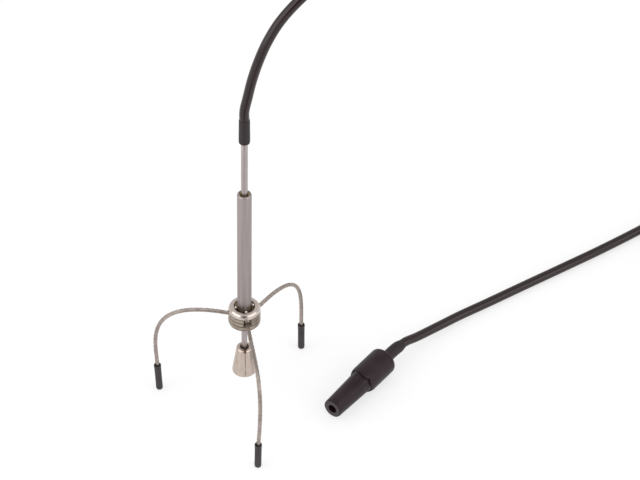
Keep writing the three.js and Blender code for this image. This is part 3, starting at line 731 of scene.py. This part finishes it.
def cut(piece, cutters):
    """Cuts the cutters out of the piece, keeps the result as its mesh and throws them away."""
    for cutter in cutters:
        modifier = piece.modifiers.new("cut", "BOOLEAN")
        modifier.operation = "DIFFERENCE"
        modifier.solver = "EXACT"
        modifier.object = cutter
    bpy.context.view_layer.update()
    evaluated = piece.evaluated_get(bpy.context.evaluated_depsgraph_get())
    data = bpy.data.meshes.new_from_object(evaluated)
    piece.modifiers.clear()
    piece.data = data
    for cutter in cutters:
        bpy.data.objects.remove(cutter)
    return shade(piece)


def slot_cutters(side):
    pivot = leg_pivot(side)
    facing = Matrix.Translation((pivot.x, pivot.y, 0)) @ Matrix.Rotation(atan2(pivot.y, pivot.x), 4, "Z")
    half = WIRE_RADIUS + RUN
    reach, swing = COLLAR_RADIUS, radians(SWING_ROOM)
    near = (-half * sin(swing), half * cos(swing))
    far = (reach * cos(swing) - half * sin(swing), reach * sin(swing) + half * cos(swing))
    fan = [(near[0], -near[1]), (far[0], -far[1]), far, near]
    round_head = HEAD_RADIUS + RUN
    turns = [2 * pi * i / 40 for i in range(40)]
    pocket = [(cos(turn) * round_head, sin(turn) * round_head) for turn in turns]
    top = RING_HIGH + 1
    return [
        cutter_prism("fan_cutter", fan, ROOT_HEIGHT - half, top, facing),
        cutter_prism("pocket_cutter", pocket, ROOT_HEIGHT - HEAD_BELOW - HEAD_CLEARANCE, top, facing),
    ]


# %% Grooved ring
ROD_HOLE = 1.7  # in the ring's floor
RING_FLOOR = 1.2
RING_FOOT_IN = 0.65
RING_FOOT_RISE = 1.3
FOOT_GROOVE = 0.7  # middles of the grooves, above the ring's underside
GROOVES = [2.7, 4.7]
FOOT_GROOVE_DEPTH = 0.45  # both depths are counted from the ring's full radius
GROOVE_DEPTH = 0.4
GROOVE_HALF = 0.27
GROOVE_FLOOR = 0.08  # half the width of a groove's flat floor
GROOVED = 0.7  # whatever is deeper than this isn't a groove


def clamp_ring():
    low, high = RING_LOW, RING_HIGH
    foot = COLLAR_RADIUS - RING_FOOT_IN, low + RING_FOOT_RISE, RING_FOOT_IN, RING_FOOT_RISE
    sunk = COLLAR_RADIUS - FOOT_GROOVE_DEPTH
    outside = [
        (ROD_HOLE, low, 0.05), *oval_arc(*foot, -85, -38, 8), (sunk, low + FOOT_GROOVE - 0.06, 0.06),
        (sunk, low + FOOT_GROOVE + 0.06, 0.06), *oval_arc(*foot, -17, 0, 4),
    ]
    sunk = COLLAR_RADIUS - GROOVE_DEPTH
    for height in GROOVES:
        middle = low + height
        outside += [
            (COLLAR_RADIUS, middle - GROOVE_HALF, 0.06), (sunk, middle - GROOVE_FLOOR, 0.06),
            (sunk, middle + GROOVE_FLOOR, 0.06), (COLLAR_RADIUS, middle + GROOVE_HALF, 0.06),
        ]
    bore, floor_top = GUIDE_RADIUS + RUN, low + RING_FLOOR
    inside = [(bore, high, 0.06), (bore, floor_top, 0.05), (ROD_HOLE, floor_top, 0.05)]
    ring = spun("clamp_ring_fine", [*outside, (COLLAR_RADIUS, high, 0.12), *inside], sides=128)

    # The grooves' faces get painted shade.
    def painted_shade_in_grooves(r, z):
        near = any(abs(z - low - height) < 0.25 for height in (FOOT_GROOVE, *GROOVES))
        return near and COLLAR_RADIUS - GROOVED < r < COLLAR_RADIUS - 0.1

    finishes(ring, RING_NICKEL, (MILLED_NICKEL_PAINTED_LIGHT, nowhere), (PAINTED_SHADE_NICKEL, painted_shade_in_grooves))
    return cut(ring, [cutter for side in ("left", "right", "front") for cutter in slot_cutters(side)])


dress(clamp_ring(), RING_NICKEL, "collar", "turned_nickel", "clamp_ring")

# %% [markdown]
# The guide tube is a plain tube whose mouth is rolled in a little, so that its rim catches the
# light all round. Just inside stands a brass bush with a funnel on top, which leads the rod in. The
# rod is ground smooth, and three fine grooves under its sleeve show where the lead is crimped in.

# %% Guide tube and its bush
TUBE_BORE = 2.15
MOUTH_FLARE = 0.15
MOUTH_ROLL = 0.6  # the rim comes in by this,
MOUTH_DROP = 0.75  # over this much height
BUSH_BORE = 1.5
FUNNEL_RADIUS = 1.85
FUNNEL_BELOW = 0.4  # the funnel's top is below the tube's by this
FUNNEL_DEPTH = 0.6


def guide_tube():
    low, high = heights("guide_tube")
    radius = GUIDE_RADIUS
    section = [
        (TUBE_BORE, low, 0.05), (radius, low, 0.25), (radius, high - MOUTH_DROP, 0.25),
        (radius - 0.28, high - 0.2, 0.2), (radius - MOUTH_ROLL, high, 0.15),
        (TUBE_BORE + MOUTH_FLARE, high, 0.1), (TUBE_BORE, high - 0.25, 0.1),
    ]
    return spun("guide_tube_fine", section, sides=112)


def top_bush():
    """Its funnel shows as a golden ring in the tube's mouth."""
    low, top = heights("top_bush")[0], tube_high.z / MM - FUNNEL_BELOW
    outer = TUBE_BORE - 0.02
    section = [
        (BUSH_BORE, low, 0.05), (outer, low, 0.05), (outer, top, 0.05), (FUNNEL_RADIUS, top - 0.12, 0.1),
        (BUSH_BORE, top - FUNNEL_DEPTH, 0.1),
    ]
    return spun("top_bush_fine", section, sides=64)


dress(guide_tube(), GUIDE_STEEL, "guide", "satin_steel", "guide_tube")
dress(top_bush(), BRASS, "guide", "brass", "top_bush")

# %% Rod and sleeve
ROD_RADIUS = 1.425
ROD_LOWER_RADIUS = 1.3
ROD_SHOULDER = 69.2  # height at which the rod gets thinner
CRIMPS = 3
CRIMP_PITCH = 1.1
CRIMP_FIRST = 2 / 3  # share of a pitch from the sleeve down to the first groove
CRIMP_HALF = 0.25
CRIMP_DEPTH = 0.17
BOOT_RADIUS = 2.42
BOOT_SEAT = 8  # mm of the rod stand in its sleeve
BOOT_LOW = heights("boot")[0]


def rod():
    low, high = heights("rod")
    section = [
        (0, low), (ROD_LOWER_RADIUS, low, 0.2), (ROD_LOWER_RADIUS, ROD_SHOULDER, 0.05),
        (ROD_RADIUS, ROD_SHOULDER + 0.15, 0.05),
    ]
    for i in reversed(range(CRIMPS)):
        middle = BOOT_LOW - (i + CRIMP_FIRST) * CRIMP_PITCH
        section += [
            (ROD_RADIUS, middle - CRIMP_HALF, 0.06), (ROD_RADIUS - CRIMP_DEPTH, middle, 0.1),
            (ROD_RADIUS, middle + CRIMP_HALF, 0.06),
        ]
    section += [(ROD_RADIUS, high, 0.1), (0, high)]
    return spun("rod_fine", section, sides=64)


def rod_sleeve():
    """Faintly waisted, as a sleeve is that was shrunk on over a step."""
    low, high = heights("boot")
    radius = BOOT_RADIUS
    lead_stop = high - LEAD_SEAT - 0.1
    section = [
        (ROD_RADIUS + 0.05, low, 0.03), (radius - 0.1, low, 0.12), (radius, low + 0.4, 0.3),
        (radius + 0.02, low + 3.5, 1.2), (radius - 0.06, low + 8.2, 1.2), (radius - 0.04, high - 1.2, 0.5),
        (radius - 0.14, high - 0.1, 0.12), (LEAD_RADIUS + 0.06, high, 0.05),
        (LEAD_RADIUS + 0.04, lead_stop, 0.05), (0, lead_stop), (0, low + BOOT_SEAT),
        (ROD_RADIUS + 0.05, low + BOOT_SEAT),
    ]
    return spun("rod_sleeve_fine", section, sides=80)


dress(rod(), ROD_STEEL, "rod", "satin_steel", "rod")
dress(rod_sleeve(), SLEEVE_BLACK, "rod", "sleeve", "boot")

# %% [markdown]
# The cone is split down one side so that it can spring onto its holder. The slit starts in a wider
# notch at the top. In its bore a lip closes round the rod, and under the cone a shallow dish leaves
# room round the needle.

# %% Cone
CONE_TOP_RADIUS = 3.6
CONE_SHOULDER = 1.1  # radius of the round between its side and its top
CONE_RADIUS = 5.5
CONE_BORE = 1.93
LIP_RADIUS = 1.4
LIP_TOP = 0.9  # both below the cone's top
LIP_BOTTOM = 2.6
DISH_RADIUS = 4.4
DISH_DEPTH = 1
SLIT_HEADING = -82
SLIT_WIDTH = 0.15
NOTCH_WIDTH = 0.95
NOTCH_DEPTH = 1.5
SPLIT_FROM = 1.7  # the cuts start here, mm from the axis


def cone():
    low, high = heights("cone")
    shoulder = CONE_SHOULDER
    section = [
        (DISH_RADIUS, low, 0.08), (CONE_RADIUS - 0.45, low, 0.25), (CONE_RADIUS, low + 0.55, 0.4),
        *oval_arc(CONE_TOP_RADIUS - shoulder, high - shoulder, shoulder, shoulder, 6, 90, 10),
        (CONE_BORE + 0.22, high, 0.1), (CONE_BORE, high - 0.25, 0.1), (CONE_BORE, high - 0.6, 0.1),
        (LIP_RADIUS, high - LIP_TOP, 0.1), (LIP_RADIUS, high - LIP_BOTTOM),
        (CONE_BORE, high - LIP_BOTTOM - 0.3), (CONE_BORE, low + DISH_DEPTH, 0.05),
        (DISH_RADIUS, low + DISH_DEPTH, 0.1),
    ]
    piece = spun("cone_fine", section, sides=128)
    # The bore gets painted shade.
    painted_shade_in_bore = (PAINTED_SHADE_NICKEL, lambda r, z: r < CONE_BORE + 0.05)
    finishes(piece, CONE_NICKEL, (MILLED_NICKEL_PAINTED_LIGHT, nowhere), painted_shade_in_bore)
    facing = Matrix.Rotation(radians(SLIT_HEADING), 4, "Z")
    beyond = CONE_RADIUS + 2.5
    cutters = []
    for name, width, bottom in (("slit", SLIT_WIDTH, low - 1), ("notch", NOTCH_WIDTH, high - NOTCH_DEPTH)):
        half = width / 2
        outline = [(SPLIT_FROM, -half), (beyond, -half), (beyond, half), (SPLIT_FROM, half)]
        cutters.append(cutter_prism(name, outline, bottom, high + 1, facing))
    return cut(piece, cutters)


dress(cone(), CONE_NICKEL, "rod", "cone_nickel", "cone")

# %% [markdown]
# Each leg is a stiff stranded wire that was bent by hand, so its line is a smooth curve between two
# straight ends: one in the collar, one in the foot. Two handles, as in any drawing program, say how
# far the curve runs on before it turns.

# %% The legs' lines
FOOT_LENGTH = 14.8
FOOT_FLAT = 0.95
FOOT_SEAT = 11.8  # mm of the wire stand in the foot
LEG_STRAIGHT = 3
# side: bearing of the root, swing from there, the foot's lean and reach, and the bend of the wire
# as shares of that reach: how far out and up, and how far down, its handles pull, and a side bow.
LEGS = {
    "left": dict(bearing=173, swing=0.6, lean=2.8, reach=33.4, out=1.12, up=0.103, down=0.428, bow=-0.013),
    "right": dict(bearing=31.6, swing=24.2, lean=-1.2, reach=36.4, out=1, up=0.037, down=0.42, bow=0.008),
    "front": dict(bearing=-75, swing=-5.9, lean=4.2, reach=38.05, out=0.779, up=0.062, down=0.992, bow=0.049),
}


def leg_foot(side):
    """The foot's lowest point and its axis."""
    leg = LEGS[side]
    along = bearing(leg["bearing"] + leg["swing"])
    lean = radians(leg["lean"])
    axis = Vector((0, 0, cos(lean))) + along * sin(lean)
    spot = leg_pivot(side) + along * leg["reach"]
    spot.z = FOOT_FLAT * abs(sin(lean))
    return spot, axis


ROOT_POINTS = 6  # steps along the straight start
SEAT_POINTS = 20  # steps along the straight end in the foot
SEAT_GAP = 0.3


def leg_line(side, steps=90):
    """The wire's centre line: a straight start, a Bezier curve, and a straight end in the foot."""
    leg = LEGS[side]
    along = bearing(leg["bearing"] + leg["swing"])
    across = Vector((-along.y, along.x, 0))
    pivot = leg_pivot(side)
    foot, axis = leg_foot(side)
    leave = pivot + along * LEG_STRAIGHT
    mouth = foot + axis * FOOT_LENGTH
    out_handle = leave + (along * leg["out"] + Vector((0, 0, leg["up"]))) * leg["reach"]
    down_handle = mouth + (axis * leg["down"] + across * leg["bow"]) * leg["reach"]
    line = [pivot.lerp(leave, i / ROOT_POINTS) for i in range(1, ROOT_POINTS)]
    for i in range(steps + 1):
        t = i / steps
        line.append(leave * (1 - t) ** 3 + out_handle * 3 * t * (1 - t) ** 2
                    + down_handle * 3 * t * t * (1 - t) + mouth * t ** 3)
    seat = axis * (FOOT_SEAT - SEAT_GAP)
    line += [mouth - seat * i / SEAT_POINTS for i in range(1, SEAT_POINTS + 1)]
    return line


print("legs, mm:", {side: round(length_of(leg_line(side)), 1) for side in LEGS})

# %% [markdown]
# One rosette of strands swept along the leg's line, and turned steadily on the way, gives every
# strand its helix, with no strand modelled by itself. Geometry Nodes do it: the line becomes a
# curve, its tilt grows with its length, and a rosette follows it.

# %% Grow the strands
STRANDS = 6
LAY = 14  # mm along the leg for one turn of a strand
STRAND_DEPTH = 0.24
STRAND_STEP = 0.35
POINTS_PER_STRAND = 8.0


def strand_tree():
    tree = bpy.data.node_groups.new("stranded wire", "GeometryNodeTree")
    tree.interface.new_socket("Line", in_out="INPUT", socket_type="NodeSocketGeometry")
    open_sockets(tree, Radius=1.0, Strands=STRANDS, Depth=0.1, Lay=5.0, Step=0.3)
    given = tree.nodes.new("NodeGroupInput").outputs
    curve = add(tree, "GeometryNodeMeshToCurve", Mesh=given["Line"])
    even = add(tree, "GeometryNodeResampleCurve", mode="LENGTH", Curve=curve.outputs[0], Length=given["Step"])
    run = add(tree, "GeometryNodeSplineParameter").outputs["Length"]
    turns = add(tree, "ShaderNodeMath", "DIVIDE", in_0=run, in_1=given["Lay"]).outputs[0]
    angle = add(tree, "ShaderNodeMath", "MULTIPLY", in_0=turns, in_1=2 * pi).outputs[0]
    tilted = add(tree, "GeometryNodeSetCurveTilt", Curve=even.outputs[0], Tilt=angle)
    points = add(tree, "ShaderNodeMath", "MULTIPLY", in_0=given["Strands"], in_1=POINTS_PER_STRAND).outputs[0]
    circle = add(tree, "GeometryNodeCurvePrimitiveCircle", Resolution=points, Radius=given["Radius"])
    share = add(tree, "GeometryNodeSplineParameter").outputs["Factor"]
    lobes = add(tree, "ShaderNodeMath", "MULTIPLY", in_0=share, in_1=given["Strands"]).outputs[0]
    wave = add(tree, "ShaderNodeMath", "MULTIPLY", in_0=lobes, in_1=pi).outputs[0]
    sine = add(tree, "ShaderNodeMath", "SINE", in_0=wave).outputs[0]
    crown = add(tree, "ShaderNodeMath", "ABSOLUTE", in_0=sine).outputs[0]
    valley = add(tree, "ShaderNodeMath", "SUBTRACT", in_0=1.0, in_1=crown).outputs[0]
    inward = add(tree, "ShaderNodeMath", "MULTIPLY", in_0=valley, in_1=given["Depth"]).outputs[0]
    size = add(tree, "ShaderNodeMath", "DIVIDE", in_0=inward, in_1=given["Radius"]).outputs[0]
    scale = add(tree, "ShaderNodeMath", "MULTIPLY", in_0=size, in_1=-1.0).outputs[0]
    here = add(tree, "GeometryNodeInputPosition").outputs[0]
    shift = add(tree, "ShaderNodeVectorMath", "SCALE", in_0=here, Scale=scale).outputs[0]
    rosette = add(tree, "GeometryNodeSetPosition", Geometry=circle.outputs[0], Offset=shift)
    body = add(
        tree, "GeometryNodeCurveToMesh", Curve=tilted.outputs[0], Profile_Curve=rosette.outputs[0],
        Fill_Caps=True)
    smooth = add(tree, "GeometryNodeSetShadeSmooth", Geometry=body.outputs[0])
    real = add(tree, "GeometryNodeRealizeInstances", Geometry=smooth.outputs[0])
    finished = add(tree, "GeometryNodeSetMaterial", Geometry=real.outputs[0], Material=WIRE_STEEL)
    add(tree, "NodeGroupOutput", Geometry=finished.outputs[0])
    return tree


def wire_steel():
    """Drawn steel strands: small changes of tint and of sheen."""
    finish, tree, shader = new_finish("stranded steel", (0.32, 0.275, 0.25), 0.42, metallic=1.0)
    spot = own_coordinates(tree)
    patches = add(tree, "ShaderNodeTexNoise", Vector=spot, Scale=0.5, Detail=4.0).outputs["Fac"]
    fine = add(tree, "ShaderNodeTexNoise", Vector=spot, Scale=6.0, Detail=3.0).outputs["Fac"]
    tint = ramp(tree, patches, (0.285, 0.24, 0.216), (0.425, 0.364, 0.33))
    tree.links.new(tint, shader.inputs["Base Color"])
    tree.links.new(ramp(tree, fine, 0.27, 0.4), shader.inputs["Roughness"])
    bump(tree, shader, fine, 0.004)
    return finish


WIRE_STEEL = wire_steel()
strands = strand_tree()
for side in LEGS:
    line = leg_line(side)
    steps = [(i, i + 1) for i in range(len(line) - 1)]
    host = new_object("leg_line_" + side, [place(*p) for p in line], [], steps)
    wire = grown("leg_wire_" + side, strands, {
        "Radius": WIRE_RADIUS * MM, "Strands": STRANDS, "Depth": STRAND_DEPTH * MM, "Lay": LAY * MM,
        "Step": STRAND_STEP * MM,
    }, base=host)
    dress(wire, WIRE_STEEL, "leg_" + side, "wire_steel", "leg_" + side)

# %% [markdown]
# Each foot is a soft sleeve pushed onto the wire. Its open top is a little flared, so a dark ring
# shows round the wire, and its closed end is rounded for the surface that it stands on.

# %% Feet
FOOT_RADIUS = 1.54
FOOT_FLARE = 0.09
FOOT_PLAY = 0.12  # round the wire


def foot(side):
    spot, axis = leg_foot(side)
    where = Matrix.Translation(spot) @ Vector((0, 0, 1)).rotation_difference(axis).to_matrix().to_4x4()
    radius, bore, seat = FOOT_RADIUS, WIRE_RADIUS + FOOT_PLAY, FOOT_LENGTH - FOOT_SEAT
    section = [
        (0, 0), (FOOT_FLAT, 0, 0.1), (radius - 0.08, 0.45, 0.3), (radius, 1.1, 0.4),
        (radius - 0.03, 6.5, 2.0), (radius, 12.6, 0.8), (radius + FOOT_FLARE, 14.0, 0.4),
        (radius + FOOT_FLARE - 0.03, FOOT_LENGTH, 0.12), (radius - 0.28, FOOT_LENGTH, 0.1),
        (bore, FOOT_LENGTH - 0.7, 0.3), (bore, seat), (0, seat),
    ]
    return spun("foot_sleeve_" + side, section, where, sides=56)


for side in LEGS:
    dress(foot(side), FOOT_BLACK, "leg_" + side, "foot_rubber", "foot_" + side)

# %% [markdown]
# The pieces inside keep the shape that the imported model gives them, since next to nothing of them
# shows. They only get a better finish.

# %% Inner pieces
def redress(node, finish):
    """Gives a CAD node that keeps its own shape a better finish."""
    data = frame["nodes"][node].data
    data.materials.clear()
    data.materials.append(finish)


redress("lower_bush", BRASS)
for node in ("needle_holder", "head_left", "head_right", "head_front"):
    redress(node, DARK_STEEL)
redress("needle", BALL_STEEL)
print("inner pieces in", BRASS.name, "and", DARK_STEEL.name)

# %% [markdown]
# The line socket is two mouldings. The nose tapers to its mouth, and has four shallow grips worked
# into its sides and a low key on its thick end. The body's front edge reaches forward like a skirt
# on two sides, with a notch for the key in it. Each of these is a change of the radius or the
# height with the angle, so the surface stays one smooth skin.

# %% Line socket
NOSE_TIP = 4.5
NOSE_ROOT = 5.3
NOSE_INSIDE = 3.9  # whatever is nearer to the axis is the bore, and isn't worked
SPIGOT_END = 29.6
SPIGOT_RADIUS = 4.5
SPIGOT_BORE = 2.9
PLUG_BORE = 2.05
PLUG_STOP = 2.3
GRIP_RADIUS = 4
GRIP_DEPTH = 0.45
GRIP_LENGTH = 12
GRIP_RUN_OUT = 0.03764  # mm outwards for each mm towards the mouth
GRIP_PHASE = 84
RIDGE_AT = 19.4
RIDGE_RISE = 1.2
KEY = 0.4
KEY_FROM = 18.5
KEY_LENGTH = 4
KEY_PAST_SKIRT = 9  # degrees
KEY_SPREAD = 11
BODY_RADIUS = 6.5
BODY_BORE = 4.62
BODY_BACK = 1.7  # radius of the round at the body's back
SKIRT = 2.6
SKIRT_AT = 213  # degrees round the socket's axis; it faces the camera
NOTCH = 1.3
NOTCH_PAST_SKIRT = 16
NOTCH_SPREAD = 10


def both_sides(angle, degrees):
    """How far an angle is from the given one or from its opposite, whichever is nearer."""
    return (angle - radians(degrees) + pi / 2) % pi - pi / 2


def with_grips(r, z, angle):
    """The nose's skin where a grip has been scooped out of it, up to a low ridge at its thick end."""
    if r < NOSE_INSIDE or z > NOSE_LENGTH + 0.01 or z < NOSE_LENGTH - GRIP_LENGTH:
        return r, z
    centre = NOSE_ROOT + GRIP_RADIUS - GRIP_DEPTH + (NOSE_LENGTH - z) * GRIP_RUN_OUT
    centre += GRIP_DEPTH * min(max((z - RIDGE_AT) / RIDGE_RISE, 0), 1) ** 2
    off = (angle - radians(GRIP_PHASE)) % (pi / 2)
    off = min(off, pi / 2 - off)
    reach = centre * sin(off)
    if reach >= GRIP_RADIUS:
        return r, z
    scooped = centre * cos(off) - sqrt(GRIP_RADIUS ** 2 - reach ** 2)
    return min(r, scooped), z


def with_key(r, z, angle):
    """A low rounded key stands on the nose's thick end, in front of each notch in the body."""
    r, z = with_grips(r, z, angle)
    if r < NOSE_INSIDE or not KEY_FROM < z < KEY_FROM + KEY_LENGTH:
        return r, z
    past_key = both_sides(angle, SKIRT_AT + KEY_PAST_SKIRT)
    lengthwise = sin(pi * (z - KEY_FROM) / KEY_LENGTH) ** 2
    return r + KEY * lengthwise * exp(-(past_key / radians(KEY_SPREAD)) ** 2), z


def with_skirt(r, z, angle):
    """The body's front edge reaches forward on two sides, with a notch for the nose's key."""
    if z > BODY_FRONT + 1 or r < BODY_BORE + 0.08:
        return r, z
    skirt = SKIRT * abs(cos(angle - radians(SKIRT_AT))) ** 1.5
    past_notch = both_sides(angle, SKIRT_AT + NOTCH_PAST_SKIRT)
    skirt -= NOTCH * exp(-(past_notch / radians(NOTCH_SPREAD)) ** 2)
    return r, z - skirt * min((r - BODY_BORE) / 0.9, 1)


def socket_nose():
    taper = [
        (NOSE_TIP + (NOSE_ROOT - NOSE_TIP) * t / 40, 0.6 + (NOSE_LENGTH - 0.6) * t / 40) for t in range(1, 41)
    ]
    section = [
        (PLUG_BORE, 0.2, 0.05), (PLUG_BORE + 0.15, 0, 0.08), (NOSE_TIP - 0.5, 0, 0.1),
        (NOSE_TIP - 0.12, 0.16, 0.1), (NOSE_TIP, 0.6, 0.2), *taper, (SPIGOT_RADIUS, NOSE_LENGTH, 0.05),
        (SPIGOT_RADIUS, SPIGOT_END), (SPIGOT_BORE, SPIGOT_END), (SPIGOT_BORE, PLUG_STOP),
        (PLUG_BORE, PLUG_STOP), (PLUG_BORE, 0.8),
    ]
    piece = spun("socket_nose_fine", section, socket_place, 160, with_key)
    face = (FACE_BLACK, lambda r, z: z < 0.06 and r > PLUG_BORE + 0.05)
    return finishes(piece, SOCKET_BLACK, face, where=socket_place)


def socket_body():
    rear, seat = BODY_REAR, SPIGOT_END + 0.3
    sleeve_hole = SLEEVE_RADIUS + 0.12
    section = [
        (BODY_BORE, BODY_FRONT, 0.1), (BODY_RADIUS - 0.75, BODY_FRONT, 0.25),
        (BODY_RADIUS - 0.2, BODY_FRONT + 0.2, 0.3), (BODY_RADIUS, BODY_FRONT + 0.8, 0.4),
        *oval_arc(BODY_RADIUS - BODY_BACK, rear - BODY_BACK, BODY_BACK, BODY_BACK, 0, 90, 10),
        (sleeve_hole, rear, 0.1), (sleeve_hole, seat), (BODY_BORE, seat),
    ]
    return spun("socket_body_fine", section, socket_place, 160, with_skirt)


CLOSING = 0.5  # the sleeve gets thinner by this,
CLOSING_LENGTH = 3.5  # over its last mm


def socket_sleeve():
    """Shrunk over the lead, and drawn down onto the jacket at its end."""
    radii = []
    for i in range(len(sleeve_line)):
        left = (len(sleeve_line) - 1 - i) * SLEEVE_STEP
        closing = CLOSING * max(0, 1 - left / CLOSING_LENGTH) ** 2
        radii.append(SLEEVE_RADIUS - 0.06 - closing)
    return sweep("socket_sleeve_fine", sleeve_line, radii, 40)


nose = dress(socket_nose(), SOCKET_BLACK, "collar", "socket_plastic", "socket_nose")
barrel = dress(socket_body(), SOCKET_BLACK, "collar", "socket_plastic", "socket_body")
bend_sleeve = dress(socket_sleeve(), SLEEVE_BLACK, "collar", "sleeve", "socket_sleeve")
redress("socket_contact", BRASS)

# %% [markdown]

# %% [markdown]
# The photograph is a catalogue shot on a light table: a pale floor that glows a little, so that
# shadows on it stay faint, and two large soft lights low in front, left and right of the camera.
# The gap between them is the dark stripe that the polished cap mirrors in its middle, and the plain
# grey above is what its top shows. A dark card in front gives the shiny lead its dark line.

# %% Floor and light
FLOOR_HALF = 10  # metres
FLOOR_GLOW = 0.66


def floor():
    half = FLOOR_HALF
    corners = [(-half, -half, 0), (half, -half, 0), (half, half, 0), (-half, half, 0)]
    piece = new_object("floor", corners, [(0, 1, 2, 3)])
    finish, tree, shader = new_finish("pale floor", (0.36, 0.36, 0.36), 0.9)
    shader.inputs["Emission Color"].default_value = (1, 1, 1, 1)
    shader.inputs["Emission Strength"].default_value = FLOOR_GLOW
    piece.data.materials.append(finish)
    return piece


AIM_HEIGHT = 50


def softbox(name, heading, height, distance, size, power):
    """A soft light aimed at the collar, placed by its compass bearing and its height, in mm."""
    spot = bearing(heading, distance, height) * MM
    data = bpy.data.lights.new(name, "AREA")
    data.shape = "RECTANGLE"
    data.size, data.size_y = size
    data.energy = power
    lamp = bpy.data.objects.new(name, data)
    lamp.location = spot
    lamp.rotation_euler = (place(0, 0, AIM_HEIGHT) - spot).to_track_quat("-Z", "Y").to_euler()
    bpy.context.scene.collection.objects.link(lamp)
    return lamp


def dark_card(near, far, half_width):
    """A card lying in front, seen in reflections alone."""
    outline = [(-half_width, -far), (half_width, -far), (half_width, -near), (-half_width, -near)]
    piece = new_object("dark_card", [place(x, y, 0.2) for x, y in outline], [(0, 1, 2, 3)])
    piece.data.materials.append(new_finish("dark card", (0.01, 0.01, 0.01), 0.9)[0])
    piece.visible_camera = piece.visible_diffuse = piece.visible_shadow = False


GAP_WAY = Vector((0, -0.94, 0.34))  # from the probe to the middle of the dark gap
GAP_EDGE = (0.86, 0.97)  # cosines of the angles from there at which it starts and is fully dark


def surroundings(room, gap):
    """An even grey room, darker low in front, between the two lights."""
    world = bpy.data.worlds.new("studio")
    bpy.context.scene.world = world
    world.use_nodes = True
    tree = world.node_tree
    way = add(tree, "ShaderNodeTexCoord").outputs["Generated"]
    facing = add(tree, "ShaderNodeVectorMath", "DOT_PRODUCT", in_0=way, in_1=GAP_WAY).outputs["Value"]
    shade_of_grey = ramp(tree, facing, room, gap, *GAP_EDGE)
    tree.links.new(shade_of_grey, tree.nodes["Background"].inputs["Color"])


floor()
dark_card(near=185, far=700, half_width=42)
softbox("left light", heading=-148, height=560, distance=1000, size=(1.4, 0.9), power=5.4)
softbox("right light", heading=-32, height=560, distance=1000, size=(1.4, 0.9), power=4.4)
surroundings(room=0.76, gap=0.1)
bpy.context.scene.view_settings.view_transform = "Standard"
